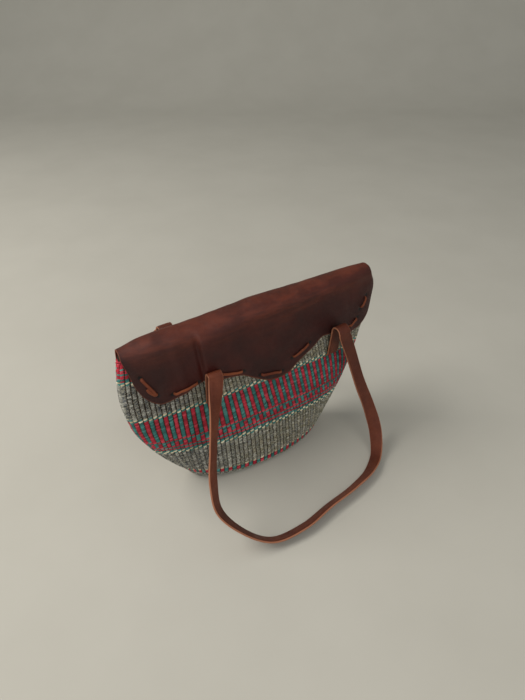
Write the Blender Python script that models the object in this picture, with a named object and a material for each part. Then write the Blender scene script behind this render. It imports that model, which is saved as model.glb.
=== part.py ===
"""Sisal bag: a woven basket pinched to a slot at its mouth, a leather flap and two leather straps.

Metres, +Z up. The origin lies on the floor under the middle of the mouth. The mouth runs along X,
and the flap is laced to the back of the basket (+Y) and falls over the mouth to the front (-Y).
"""
import math

import bmesh
import bpy
import numpy as np

# Basket: a hollow round-bottomed bag, wide at the belly and flat at the mouth
HALF_LENGTH = 0.2025
BELLY_DEPTH = 0.0425
RIM_HEIGHT = 0.257
WALL = 0.0035

# Each row is one woven ring: its height as a share of the rim's, its left and right reach as
# shares of HALF_LENGTH, its half depth as a share of BELLY_DEPTH, and how square its corners are
RING_COLUMNS = ("height", "left", "right", "depth", "square")
RINGS = (
    (0.000, 0.54, 0.49, 0.85, 2.0),
    (0.016, 0.59, 0.53, 0.99, 2.0),
    (0.078, 0.64, 0.57, 1.00, 2.2),
    (0.195, 0.75, 0.66, 0.91, 2.5),
    (0.350, 0.87, 0.77, 0.78, 2.8),
    (0.545, 0.97, 0.87, 0.65, 3.0),
    (0.740, 1.00, 0.93, 0.53, 3.0),
    (0.895, 0.985, 0.945, 0.46, 2.8),
    (1.000, 0.96, 0.935, 0.41, 2.6),
)
RING_LEVELS = (0.0, 0.016, 0.045, 0.10, 0.195, 0.30, 0.42, 0.545, 0.66, 0.78, 0.90, 1.0)
RING_POINTS = 60

# Flap: one leather sheet from the back, over the mouth and down the front
FLAP_HALF_LENGTH = 0.193
RIDGE_RISE = 0.023
RIDGE_HEIGHT = RIM_HEIGHT + RIDGE_RISE
FLAP_DROP = 0.127
FLAP_BACK_DROP = 0.088
FLAP_THICKNESS = 0.0022
FLAP_FRONT_GAP = 0.0026
FLAP_BACK_GAP = 0.0004
FLAP_END_GAP = 0.012
ARCH_HEIGHT = 0.021
ARCH_SQUARENESS = 3.2
CREASE_PLACE = -0.50
CREASE_STEP = 0.0020
FLAP_COLUMNS = 46
FLAP_FRONT_ROWS = 12
FLAP_BACK_ROWS = 8

# Ridge line: place along the flap as a share of its half length, sag as a share of FLAP_DROP
RIDGE_LINE = (
    (-1.00, 0.105),
    (-0.78, 0.043),
    (-0.50, 0.040),
    (-0.20, 0.012),
    (0.00, -0.010),
    (0.40, 0.000),
    (0.85, 0.000),
    (0.95, 0.025),
    (1.00, 0.110),
)

# Front edge with its three lobes: place along the flap, drop as a share of FLAP_DROP
FRONT_EDGE = (
    (-1.00, 0.20),
    (-0.975, 0.35),
    (-0.95, 0.52),
    (-0.915, 0.64),
    (-0.865, 0.73),
    (-0.80, 0.785),
    (-0.72, 0.775),
    (-0.62, 0.74),
    (-0.50, 0.69),
    (-0.37, 0.715),
    (-0.22, 0.765),
    (-0.12, 0.86),
    (0.00, 0.97),
    (0.08, 1.00),
    (0.18, 0.98),
    (0.25, 0.90),
    (0.31, 0.845),
    (0.40, 0.77),
    (0.50, 0.675),
    (0.57, 0.685),
    (0.76, 0.78),
    (0.83, 0.77),
    (0.90, 0.72),
    (0.95, 0.63),
    (0.975, 0.48),
    (1.00, 0.32),
)

# Thong that laces the flap's front edge, and the same thong holding its back edge to the basket
THONG_WIDTH = 0.0042
THONG_THICKNESS = 0.0014
THONG_GAP = 0.0004
HOLE_GAP = 0.0006
CROSSING = 0.0022

# Front stitches from left to right: both ends as shares of the flap's half length and of
# FLAP_DROP, then how far the hidden run after it rises, as a share of FLAP_DROP
FRONT_STITCHES = (
    (-0.907, 0.43, -0.829, 0.65, 0.00),
    (-0.715, 0.71, -0.549, 0.675, 0.05),
    (-0.373, 0.655, -0.218, 0.715, 0.02),
    (-0.062, 0.855, 0.109, 0.92, 0.02),
    (0.223, 0.80, 0.358, 0.705, 0.14),
    (0.756, 0.69, 0.829, 0.63, 0.00),
    (0.865, 0.50, 0.910, 0.39, 0.00),
)
BACK_STITCH_COUNT = 6
BACK_STITCH_FILL = 0.60
BACK_LACING_REACH = 0.86
BACK_LACING_INSET = 0.010

# Straps: flat leather bands through slots in the front and back walls
STRAP_WIDTH = 0.020
STRAP_THICKNESS = 0.003
STRAP_HALF_SPREAD = 0.101
STRAP_GAP = 0.0005
STRAP_FOLD_RADIUS = 0.0088
STRAP_BEND_RADIUS = 0.0035
SLOT_HEIGHT = 0.154
SLOT_GAP = 0.0009
TAIL_LENGTH = 0.032
TAIL_HEAD_LENGTH = 0.0128
TAIL_SHOULDER = 0.0006
TAIL_HEAD_WIDTH = 0.029
FLOOR_GAP = 0.0003

FRONT_STRAP_CENTRE = 0.0145
FRONT_FOLD_LEFT = 0.2095
FRONT_FOLD_RIGHT = 0.2115
FRONT_FOLD_OUT = 0.040
FRONT_LOOP_REACH = 0.172
BACK_STRAP_CENTRE = -0.011
BACK_FOLD_LEFT = 0.246
BACK_FOLD_RIGHT = 0.228
BACK_FOLD_OUT = 0.055
BACK_LOOP_REACH = 0.165

# Loop of a strap from its right fold to its left one: sideways as a share of the half spread,
# outwards as a share of the way from the fold to the loop's reach, height as a share of the
# fold's, and the turn and lift of the band's outer edge in degrees
LOOP_COLUMNS = ("side", "out", "up", "turn", "lift")
LOOP = (
    (1.13, 0.10, 0.78, -6.0, 0.0),
    (1.24, 0.21, 0.55, -6.0, 0.0),
    (1.35, 0.34, 0.34, 5.0, 5.0),
    (1.38, 0.48, 0.16, 45.0, 20.0),
    (1.25, 0.64, 0.04, 75.0, 30.0),
    (1.00, 0.77, 0.00, 85.0, 37.0),
    (0.58, 0.87, 0.00, 90.0, 44.0),
    (0.07, 0.93, 0.00, 92.0, 44.0),
    (-0.45, 1.00, 0.00, 97.0, 38.0),
    (-0.90, 0.97, 0.04, 106.0, 37.0),
    (-1.26, 0.83, 0.155, 120.0, 36.0),
    (-1.46, 0.64, 0.29, 134.0, 30.0),
    (-1.43, 0.50, 0.45, 144.0, 21.0),
    (-1.30, 0.34, 0.64, 142.0, 14.0),
    (-1.16, 0.20, 0.84, 152.0, 5.0),
)
LOOP_STEPS = 4
BEND_STEPS = 3
FOLD_STEPS = 8


def smooth_curve(table, places):
    """Read a table of (place, value) rows at the given places, by a curve that never overshoots."""
    known, values = np.array(table, dtype=float).T
    places = np.clip(np.asarray(places, dtype=float), known[0], known[-1])
    widths = np.diff(known)
    slopes = np.diff(values) / widths
    before = 2.0 * widths[1:] + widths[:-1]
    after = widths[1:] + 2.0 * widths[:-1]
    same_way = slopes[:-1] * slopes[1:] > 0.0
    first = np.where(same_way, slopes[:-1], 1.0)
    second = np.where(same_way, slopes[1:], 1.0)
    inner = np.where(same_way, (before + after) / (before / first + after / second), 0.0)
    tangents = np.concatenate(([slopes[0]], inner, [slopes[-1]]))
    cell = np.clip(np.searchsorted(known, places) - 1, 0, len(widths) - 1)
    along = (places - known[cell]) / widths[cell]
    rest = 1.0 - along
    start = values[cell] * (1.0 + 2.0 * along) * rest**2
    end = values[cell + 1] * along**2 * (3.0 - 2.0 * along)
    leave = tangents[cell] * widths[cell] * along * rest**2
    arrive = tangents[cell + 1] * widths[cell] * along**2 * rest
    return start + end + leave - arrive


def ring_value(column, share):
    """One column of the ring table at a share of the rim's height."""
    index = RING_COLUMNS.index(column)
    rows = [(ring[0], ring[index]) for ring in RINGS]
    return smooth_curve(rows, np.clip(share, 0.0, 1.0))


def half_depth(x, z, end_gap=0.0, side_gap=0.0):
    """Half the basket's depth at a place, or that of a shape that stands off by the two gaps."""
    share = np.asarray(z, dtype=float) / RIM_HEIGHT
    reach = np.where(np.asarray(x) < 0.0, ring_value("left", share), ring_value("right", share))
    along = np.clip(np.abs(x) / (reach * HALF_LENGTH + end_gap), 0.0, 0.9999)
    square = ring_value("square", share)
    depth = ring_value("depth", share) * BELLY_DEPTH + side_gap
    return depth * (1.0 - along**square) ** (1.0 / square)


def ring_points(share, inset):
    """Points around one ring of the basket, drawn in by a wall's thickness."""
    angles = np.linspace(0.0, 2.0 * math.pi, RING_POINTS, endpoint=False)
    power = 2.0 / ring_value("square", share)
    cosine, sine = np.cos(angles), np.sin(angles)
    left = ring_value("left", share) * HALF_LENGTH - inset
    right = ring_value("right", share) * HALF_LENGTH - inset
    depth = ring_value("depth", share) * BELLY_DEPTH - inset
    x = np.sign(cosine) * np.abs(cosine) ** power * np.where(cosine < 0.0, left, right)
    y = np.sign(sine) * np.abs(sine) ** power * depth
    return np.stack([x, y], axis=1)


def new_material(name, colour, roughness):
    """A plain finish for one kind of material."""
    material = bpy.data.materials.new(name)
    material.use_nodes = True
    shader = material.node_tree.nodes["Principled BSDF"]
    shader.inputs["Base Color"].default_value = (*colour, 1.0)
    shader.inputs["Roughness"].default_value = roughness
    shader.inputs["Metallic"].default_value = 0.0
    return material


def new_object(name, mesh, material=None):
    """Put a mesh into the scene under its own name."""
    thing = bpy.data.objects.new(name, mesh)
    bpy.context.scene.collection.objects.link(thing)
    if material:
        mesh.materials.append(material)
        mesh.shade_smooth()
        mesh.set_sharp_from_angle(angle=math.radians(35.0))
    return thing


def new_cutter(name, boxes):
    """One hidden cutter made of turned boxes: each has a centre, three axes and three sizes."""
    build = bmesh.new()
    for centre, axes, sizes in boxes:
        corners = bmesh.ops.create_cube(build, size=1.0)["verts"]
        for corner in corners:
            place = np.array(corner.co) * np.array(sizes)
            corner.co = np.array(centre) + place @ np.array(axes)
    bmesh.ops.recalc_face_normals(build, faces=build.faces)
    mesh = bpy.data.meshes.new(name)
    build.to_mesh(mesh)
    build.free()
    cutter = new_object(name, mesh)
    cutter.hide_render = True
    cutter.display_type = "WIRE"
    return cutter


def cut(thing, cutter):
    """Take a cutter's boxes out of a piece."""
    modifier = thing.modifiers.new(cutter.name, "BOOLEAN")
    modifier.operation = "DIFFERENCE"
    modifier.solver = "EXACT"
    modifier.object = cutter


def basket_mesh():
    """The hollow basket: outer rings up to the rim, inner rings down to the floor of the bag."""
    outer = [(share, share * RIM_HEIGHT, 0.0) for share in RING_LEVELS]
    floor_share = WALL / RIM_HEIGHT
    inside = [share for share in RING_LEVELS if share > 1.5 * floor_share]
    inner = [(share, share * RIM_HEIGHT, WALL) for share in reversed(inside)]
    inner.append((floor_share, WALL, WALL))
    build = bmesh.new()
    loops = []
    for share, height, inset in outer + inner:
        loops.append([build.verts.new((x, y, height)) for x, y in ring_points(share, inset)])
    for lower, upper in zip(loops, loops[1:]):
        for index in range(RING_POINTS):
            after = (index + 1) % RING_POINTS
            build.faces.new((lower[index], lower[after], upper[after], upper[index]))
    build.faces.new(list(reversed(loops[0])))
    build.faces.new(loops[-1])
    bmesh.ops.recalc_face_normals(build, faces=build.faces)
    mesh = bpy.data.meshes.new("basket")
    build.to_mesh(mesh)
    build.free()
    return mesh


def ridge_height(place):
    """Height of the flap's ridge at a share of its half length."""
    return RIDGE_HEIGHT - FLAP_DROP * smooth_curve(RIDGE_LINE, place)


def crease_step(place):
    """How far the leather stands out right of the crease over the left strap."""
    beyond = np.clip((place - CREASE_PLACE) / 0.05, 0.0, 1.0)
    fade = np.clip(1.0 - (place - CREASE_PLACE) / 0.45, 0.0, 1.0)
    return CREASE_STEP * beyond * fade


def flap_point(place, height, facing):
    """Middle of the leather at a share of the half length and a height, on the front or back."""
    gap = FLAP_FRONT_GAP if facing < 0 else FLAP_BACK_GAP
    x = place * FLAP_HALF_LENGTH
    ridge = ridge_height(place)
    off = gap + FLAP_THICKNESS / 2.0
    deep = half_depth(x, np.minimum(height, RIM_HEIGHT), FLAP_END_GAP, off)
    least = FLAP_THICKNESS * 2.0
    deep = np.maximum(deep, least) + (crease_step(place) if facing < 0 else 0.0)
    rise = np.clip((height - ridge + ARCH_HEIGHT) / ARCH_HEIGHT, 0.0, 1.0)
    arch = (1.0 - rise**ARCH_SQUARENESS) ** (1.0 / ARCH_SQUARENESS)
    return np.array([x, facing * deep * arch, height])


def flap_frame(place, height, facing):
    """A point on the flap's middle with its directions along the ridge, up, and outwards."""
    nudge = 1e-4
    point = flap_point(place, height, facing)
    along = flap_point(place + nudge, height, facing) - flap_point(place - nudge, height, facing)
    up = flap_point(place, height + nudge, facing) - flap_point(place, height - nudge, facing)
    along /= np.linalg.norm(along)
    up /= np.linalg.norm(up)
    outwards = np.cross(along, up) * -facing
    return point, along, up, outwards / np.linalg.norm(outwards)


def flap_mesh():
    """The flap's middle surface: columns from the front edge over the ridge to the back edge."""
    places = np.sin(np.linspace(-0.5, 0.5, FLAP_COLUMNS) * math.pi * 0.86) / math.sin(0.43 * math.pi)
    front = np.linspace(0.0, 1.0, FLAP_FRONT_ROWS + 1)
    back = np.linspace(1.0, 0.0, FLAP_BACK_ROWS + 1)[1:]
    build = bmesh.new()
    columns = []
    for place in places:
        ridge = ridge_height(place)
        edge = RIDGE_HEIGHT - FLAP_DROP * smooth_curve(FRONT_EDGE, place)
        hem = RIDGE_HEIGHT - FLAP_BACK_DROP
        column = []
        for share in front:
            height = edge + (ridge - edge) * math.sin(share * math.pi / 2.0)
            column.append(build.verts.new(flap_point(place, height, -1.0)))
        for share in back:
            height = hem + (ridge - hem) * math.sin(share * math.pi / 2.0)
            column.append(build.verts.new(flap_point(place, height, 1.0)))
        columns.append(column)
    for left, right in zip(columns, columns[1:]):
        for row in range(len(left) - 1):
            build.faces.new((left[row], right[row], right[row + 1], left[row + 1]))
    mesh = bpy.data.meshes.new("flap")
    build.to_mesh(mesh)
    build.free()
    return mesh


def band_mesh(name, points, across, widths, thickness):
    """A flat band along a route: two flat faces, two edges and two square ends."""
    points = np.asarray(points, dtype=float)
    across = np.asarray(across, dtype=float)
    along = np.gradient(points, axis=0)
    along /= np.linalg.norm(along, axis=1)[:, None]
    across = across - along * np.sum(across * along, axis=1)[:, None]
    across /= np.linalg.norm(across, axis=1)[:, None]
    normal = np.cross(along, across)
    half = np.asarray(widths)[:, None] / 2.0
    build = bmesh.new()
    loops = []
    for side, face in ((1, 1), (-1, 1), (-1, -1), (1, -1)):
        places = points + side * half * across + face * thickness / 2.0 * normal
        loops.append([build.verts.new(place) for place in places])
    for first, second in zip(loops, loops[1:] + loops[:1]):
        for index in range(len(points) - 1):
            corners = (first[index], first[index + 1], second[index + 1], second[index])
            build.faces.new(corners)
    build.faces.new([loop[0] for loop in loops])
    build.faces.new([loop[-1] for loop in reversed(loops)])
    bmesh.ops.recalc_face_normals(build, faces=build.faces)
    mesh = bpy.data.meshes.new(name)
    build.to_mesh(mesh)
    build.free()
    return mesh


def eased(points, steps):
    """A smooth route through rows of numbers, with the given steps from one row to the next."""
    points = np.asarray(points, dtype=float)
    gaps = np.linalg.norm(np.diff(points[:, :3], axis=0), axis=1)
    knots = np.concatenate(([0.0], np.cumsum(gaps)))
    slopes = np.gradient(points, knots, axis=0)
    rows = []
    for index, gap in enumerate(gaps):
        for step in range(steps):
            t = step / steps
            start = points[index] * (1.0 + 2.0 * t) * (1.0 - t) ** 2
            end = points[index + 1] * t**2 * (3.0 - 2.0 * t)
            leave = slopes[index] * gap * t * (1.0 - t) ** 2
            arrive = slopes[index + 1] * gap * t**2 * (1.0 - t)
            rows.append(start + end + leave - arrive)
    rows.append(points[-1])
    return np.array(rows)


def crossing(outer, inner, going_in):
    """Route of the thong through a hole: (along, offset) pairs from one face to the other."""
    start, end = (outer, inner) if going_in else (inner, outer)
    rows = []
    for along, share in ((-1.0, 0.0), (-0.5, 0.06), (-0.25, 0.27), (0.25, 0.73), (0.5, 0.94), (1.0, 1.0)):
        rows.append((along * CROSSING, start + (end - start) * share))
    return rows


def behind_flap(place, height):
    """Level of a thong that lies close behind the leather, from the leather's middle."""
    return -FLAP_THICKNESS / 2.0 - THONG_GAP - THONG_THICKNESS / 2.0


def behind_wall(place, height):
    """Level of a thong that lies inside the basket's back wall, from the leather's middle."""
    point = flap_point(place, height, 1.0)
    return half_depth(point[0], height) - point[1] - WALL - THONG_GAP - THONG_THICKNESS / 2.0


def lace_heading(holes, index, along_x, up):
    """Way the thong runs through one hole: halfway between its runs before and after it."""
    before = holes[max(index - 1, 0)]
    here = holes[index]
    after = holes[min(index + 1, len(holes) - 1)]
    heading = np.zeros(3)
    for start, end in ((before, here), (here, after)):
        step = along_x * (end[0] - start[0]) * FLAP_HALF_LENGTH + up * (end[1] - start[1])
        length = np.linalg.norm(step)
        if length > 0.0:
            heading += step / length
    return heading / np.linalg.norm(heading)


def lace_route(holes, facing, inner_level, rises):
    """Run a thong in and out of a row of holes, each a place along the flap and a height."""
    outer = FLAP_THICKNESS / 2.0 + THONG_GAP + THONG_THICKNESS / 2.0
    points, across = [], []
    for index, (place, height) in enumerate(holes):
        going_in = index % 2 == 1
        point, along_x, up, out = flap_frame(place, height, facing)
        heading = lace_heading(holes, index, along_x, up)
        for travel, offset in crossing(outer, inner_level(place, height), going_in):
            points.append(point + heading * travel + out * offset)
            across.append(np.cross(out, heading))
        if index < len(holes) - 1:
            after = holes[index + 1]
            rise = rises[index]
            for share in (0.25, 0.5, 0.75):
                mid_place = place + (after[0] - place) * share
                mid_height = height + (after[1] - height) * share + rise * math.sin(share * math.pi)
                point, _, _, out = flap_frame(mid_place, mid_height, facing)
                level = inner_level(mid_place, mid_height) if going_in else outer
                points.append(point + out * level)
                across.append(np.cross(out, heading))
    return points, across


def hole_boxes(holes, facing, deep_out, deep_in):
    """Cutter boxes for a row of thong holes, square to the flap's surface."""
    boxes = []
    for index, (place, height) in enumerate(holes):
        point, along_x, up, out = flap_frame(place, height, facing)
        heading = lace_heading(holes, index, along_x, up)
        heading -= out * np.dot(heading, out)
        heading /= np.linalg.norm(heading)
        centre = point + out * (deep_out - deep_in) / 2.0
        length = CROSSING + THONG_THICKNESS + 2.0 * HOLE_GAP
        sizes = (length, THONG_WIDTH + 2.0 * HOLE_GAP, deep_out + deep_in)
        boxes.append((centre, (heading, np.cross(out, heading), out), sizes))
    return boxes


def front_holes():
    """Holes of the front lacing, two for each stitch, from left to right."""
    holes = []
    for left, left_drop, right, right_drop, _ in FRONT_STITCHES:
        holes.append((left, RIDGE_HEIGHT - FLAP_DROP * left_drop))
        holes.append((right, RIDGE_HEIGHT - FLAP_DROP * right_drop))
    return holes


def back_holes():
    """Holes of the back lacing, evenly spaced along the flap's back edge."""
    height = RIDGE_HEIGHT - FLAP_BACK_DROP + BACK_LACING_INSET
    pitch = 2.0 * BACK_LACING_REACH / BACK_STITCH_COUNT
    holes = []
    for index in range(BACK_STITCH_COUNT):
        middle = -BACK_LACING_REACH + pitch * (index + 0.5)
        holes.append((middle - pitch * BACK_STITCH_FILL / 2.0, height))
        holes.append((middle + pitch * BACK_STITCH_FILL / 2.0, height))
    return holes


def strap_leg(x, facing, fold_top, fold_out):
    """One leg of a strap from its tail inside the basket to the top of its fold."""
    wall = half_depth(x, SLOT_HEIGHT)
    outside = wall + STRAP_GAP + STRAP_THICKNESS / 2.0
    inside = wall - WALL - STRAP_GAP - STRAP_THICKNESS / 2.0
    bend = STRAP_BEND_RADIUS
    rows = []
    neck = TAIL_LENGTH - TAIL_HEAD_LENGTH
    for below in (TAIL_LENGTH, neck, neck - TAIL_SHOULDER, neck / 2.0):
        rows.append((inside, SLOT_HEIGHT - bend - below))
    for step in range(BEND_STEPS + 1):
        angle = step / BEND_STEPS * math.pi / 2.0
        rows.append((inside + bend * (1.0 - math.cos(angle)), SLOT_HEIGHT - bend * (1.0 - math.sin(angle))))
    for step in range(BEND_STEPS + 1):
        angle = step / BEND_STEPS * math.pi / 2.0
        rows.append((outside - bend * (1.0 - math.sin(angle)), SLOT_HEIGHT + bend * (1.0 - math.cos(angle))))
    low = np.array(rows[-1])
    high = np.array((fold_out - STRAP_FOLD_RADIUS, fold_top - STRAP_FOLD_RADIUS))
    for share in (0.35, 0.7):
        rows.append(tuple(low + (high - low) * share))
    for step in range(FOLD_STEPS + 1):
        angle = step / FOLD_STEPS * math.pi
        out = fold_out - STRAP_FOLD_RADIUS * math.cos(angle)
        rows.append((out, fold_top - STRAP_FOLD_RADIUS * (1.0 - math.sin(angle))))
    return [(x, facing * out, up) for out, up in rows]


def wall_slope(x):
    """Turn of the wall at a strap's slot, seen from above, in radians."""
    reach = STRAP_WIDTH / 2.0
    rise = half_depth(x + reach, SLOT_HEIGHT) - half_depth(x - reach, SLOT_HEIGHT)
    return math.atan2(rise, 2.0 * reach)


def edge_direction(turn, lift, facing):
    """Direction of the band's outer edge for a turn about the upright and a lift, in radians."""
    flat = math.cos(lift)
    return (math.cos(turn) * flat, facing * math.sin(turn) * flat, math.sin(lift))


def strap_route(centre, fold_left, fold_right, fold_out, loop_reach, facing):
    """The middle line of a strap and the direction of its outer edge, right tail to left tail."""
    right_x = centre + STRAP_HALF_SPREAD
    left_x = centre - STRAP_HALF_SPREAD
    right_turn = wall_slope(right_x)
    left_turn = wall_slope(left_x)
    right = strap_leg(right_x, facing, fold_right, fold_out)
    left = strap_leg(left_x, facing, fold_left, fold_out)
    loop = []
    for side, out, up, turn, lift in LOOP:
        top = fold_right if side > 0.0 else fold_left
        edge = edge_direction(math.radians(turn), math.radians(lift), facing)
        lowest = STRAP_WIDTH / 2.0 * abs(edge[2]) + STRAP_THICKNESS / 2.0 + FLOOR_GAP
        place = (centre + side * STRAP_HALF_SPREAD,
                 facing * (fold_out + out * (loop_reach - fold_out)),
                 max(up * top, lowest))
        loop.append(place + edge)
    start = right[-1] + edge_direction(right_turn, 0.0, facing)
    end = left[-1] + edge_direction(math.pi + left_turn, 0.0, facing)
    middle = eased([start] + loop + [end], LOOP_STEPS)[1:-1]
    points = right + [tuple(row[:3]) for row in middle] + left[::-1]
    across = [edge_direction(right_turn, 0.0, facing)] * len(right)
    across += [tuple(row[3:]) for row in middle]
    across += [edge_direction(math.pi + left_turn, 0.0, facing)] * len(left)
    widths = np.full(len(points), STRAP_WIDTH)
    widths[:2] = TAIL_HEAD_WIDTH
    widths[-2:] = TAIL_HEAD_WIDTH
    return points, across, widths


def slot_boxes(centre, facing):
    """Cutter boxes for the two slots that one strap passes through."""
    boxes = []
    for side in (-1.0, 1.0):
        x = centre + side * STRAP_HALF_SPREAD
        turn = wall_slope(x)
        outwards = np.array((-math.sin(turn), math.cos(turn) * facing, 0.0))
        along = np.array((math.cos(turn), math.sin(turn) * facing, 0.0))
        middle = np.array((x, facing * (half_depth(x, SLOT_HEIGHT) - WALL / 2.0), SLOT_HEIGHT))
        sizes = (STRAP_WIDTH + 2.0 * SLOT_GAP, WALL * 3.0, STRAP_THICKNESS + 2.0 * SLOT_GAP)
        boxes.append((middle, (along, outwards, (0.0, 0.0, 1.0)), sizes))
    return boxes


def build_basket(sisal, back_row):
    """The basket with its strap slots and the holes of the back lacing."""
    basket = new_object("basket", basket_mesh(), sisal)
    slots = slot_boxes(FRONT_STRAP_CENTRE, -1.0) + slot_boxes(BACK_STRAP_CENTRE, 1.0)
    cut(basket, new_cutter("strap_slots", slots))
    reach_in = WALL + FLAP_BACK_GAP + FLAP_THICKNESS * 2.0
    cut(basket, new_cutter("wall_holes", hole_boxes(back_row, 1.0, FLAP_THICKNESS, reach_in)))


def build_flap(leather, front_row, back_row):
    """The flap, made thick from its middle surface, with all its thong holes."""
    flap = new_object("flap", flap_mesh(), leather)
    solid = flap.modifiers.new("thickness", "SOLIDIFY")
    solid.thickness = FLAP_THICKNESS
    solid.offset = 0.0
    deep = FLAP_THICKNESS * 1.5
    cut(flap, new_cutter("front_holes", hole_boxes(front_row, -1.0, deep, deep)))
    cut(flap, new_cutter("back_holes", hole_boxes(back_row, 1.0, deep, deep)))


def build_lacing(thong, front_row, back_row):
    """The thong along the front edge and the one that holds the back edge to the basket."""
    rises = []
    for stitch in FRONT_STITCHES:
        rises += [0.0, stitch[4] * FLAP_DROP]
    points, across = lace_route(front_row, -1.0, behind_flap, rises)
    widths = np.full(len(points), THONG_WIDTH)
    new_object("edge_lacing", band_mesh("edge_lacing", points, across, widths, THONG_THICKNESS), thong)
    rises = [0.0] * len(back_row)
    points, across = lace_route(back_row, 1.0, behind_wall, rises)
    widths = np.full(len(points), THONG_WIDTH)
    new_object("back_lacing", band_mesh("back_lacing", points, across, widths, THONG_THICKNESS), thong)


def build_straps(strap_leather):
    """The strap that lies in front of the bag and the one behind it."""
    front = strap_route(FRONT_STRAP_CENTRE, FRONT_FOLD_LEFT, FRONT_FOLD_RIGHT,
                        FRONT_FOLD_OUT, FRONT_LOOP_REACH, -1.0)
    back = strap_route(BACK_STRAP_CENTRE, BACK_FOLD_LEFT, BACK_FOLD_RIGHT,
                       BACK_FOLD_OUT, BACK_LOOP_REACH, 1.0)
    for name, route in (("front_strap", front), ("back_strap", back)):
        new_object(name, band_mesh(name, *route, STRAP_THICKNESS), strap_leather)


def main():
    """Clear the scene and build the bag."""
    for thing in list(bpy.data.objects):
        bpy.data.objects.remove(thing, do_unlink=True)
    sisal = new_material("sisal", (0.30, 0.27, 0.22), 0.85)
    leather = new_material("flap_leather", (0.075, 0.022, 0.012), 0.50)
    strap_leather = new_material("strap_leather", (0.145, 0.058, 0.030), 0.60)
    thong = new_material("thong", (0.26, 0.105, 0.045), 0.70)
    front_row = front_holes()
    back_row = back_holes()
    build_basket(sisal, back_row)
    build_flap(leather, front_row, back_row)
    build_lacing(thong, front_row, back_row)
    build_straps(strap_leather)


main()
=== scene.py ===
"""Looks of a twined sisal bag with a leather flap, two leather straps and thong lacing.

Metres, +Z up. The mouth runs along X and the flap falls to the front, towards -Y. Every piece is
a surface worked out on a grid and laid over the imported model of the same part.
"""
import logging
import math
from collections.abc import Callable
from dataclasses import dataclass, field
from enum import Enum
from functools import cached_property

import bpy
import numpy as np
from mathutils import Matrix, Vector


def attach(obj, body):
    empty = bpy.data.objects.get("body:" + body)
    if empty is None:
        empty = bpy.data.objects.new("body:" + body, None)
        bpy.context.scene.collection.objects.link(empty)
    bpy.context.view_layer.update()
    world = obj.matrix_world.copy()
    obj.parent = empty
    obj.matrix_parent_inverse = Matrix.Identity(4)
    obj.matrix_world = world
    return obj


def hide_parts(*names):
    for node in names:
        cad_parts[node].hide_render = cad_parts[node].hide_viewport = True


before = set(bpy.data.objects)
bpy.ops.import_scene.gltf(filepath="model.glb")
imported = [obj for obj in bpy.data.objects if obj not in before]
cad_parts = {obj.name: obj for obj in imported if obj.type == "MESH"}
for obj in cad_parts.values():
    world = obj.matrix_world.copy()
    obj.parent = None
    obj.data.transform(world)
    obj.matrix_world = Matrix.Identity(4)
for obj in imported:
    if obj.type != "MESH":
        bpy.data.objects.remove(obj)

LOG = logging.getLogger("sisal_bag")
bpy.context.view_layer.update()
Array = np.ndarray


# Numbers and curves


def smoothstep(low: float, high: float, value: Array) -> Array:
    """A soft step: 3t^2 - 2t^3 with t the value's share of the way from low to high.

    Args:
        low: where the step starts.
        high: where it ends.
        value: places to read it at.

    Returns:
        The step's height, from 0 to 1.
    """
    t = np.clip((value - low) / (high - low), 0.0, 1.0)
    return t * t * (3.0 - 2.0 * t)


def table_curve(rows: tuple, places: Array) -> Array:
    """Read (place, value) rows by cubic pieces whose slopes are the harmonic mean of their sides.

    Args:
        rows: the table, in order of place.
        places: where to read it.

    Returns:
        The values there, held level past both ends.
    """
    known, values = np.array(rows, dtype=float).T
    x = np.clip(np.asarray(places, dtype=float), known[0], known[-1])
    widths = np.diff(known)
    slopes = np.diff(values) / widths
    before = 2.0 * widths[1:] + widths[:-1]
    after = widths[1:] + 2.0 * widths[:-1]
    same = slopes[:-1] * slopes[1:] > 0.0
    first = np.where(same, slopes[:-1], 1.0)
    second = np.where(same, slopes[1:], 1.0)
    inner = np.where(same, (before + after) / (before / first + after / second), 0.0)
    tangents = np.concatenate(([slopes[0]], inner, [slopes[-1]]))
    cell = np.clip(np.searchsorted(known, x) - 1, 0, len(widths) - 1)
    t = (x - known[cell]) / widths[cell]
    rest = 1.0 - t
    ends = values[cell] * (1.0 + 2.0 * t) * rest**2 + values[cell + 1] * t**2 * (3.0 - 2.0 * t)
    pulls = tangents[cell] * t * rest**2 - tangents[cell + 1] * t**2 * rest
    return ends + pulls * widths[cell]


def unit(vectors: Array) -> Array:
    """Vectors scaled to length 1 along their last axis."""
    length = np.linalg.norm(vectors, axis=-1, keepdims=True)
    return vectors / np.maximum(length, 1e-12)


def lumps(places: Array, scale: float, seed: int, waves: int = 9) -> Array:
    """Soft unevenness: the mean of sine waves with set random directions, phases and lengths.

    Args:
        places: points, with three numbers on the last axis.
        scale: waves per metre, about.
        seed: which set of waves.
        waves: how many are added.

    Returns:
        One number a point, roughly from -1 to 1.
    """
    dice = np.random.default_rng(seed)
    ways = unit(dice.normal(size=(waves, 3))) * dice.uniform(0.6, 1.6, size=(waves, 1)) * scale
    phases = dice.uniform(0.0, 2.0 * math.pi, size=waves)
    angles = 2.0 * math.pi * (places @ ways.T) + phases
    return np.sin(angles).mean(axis=-1) * 2.0


# Meshes


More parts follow.
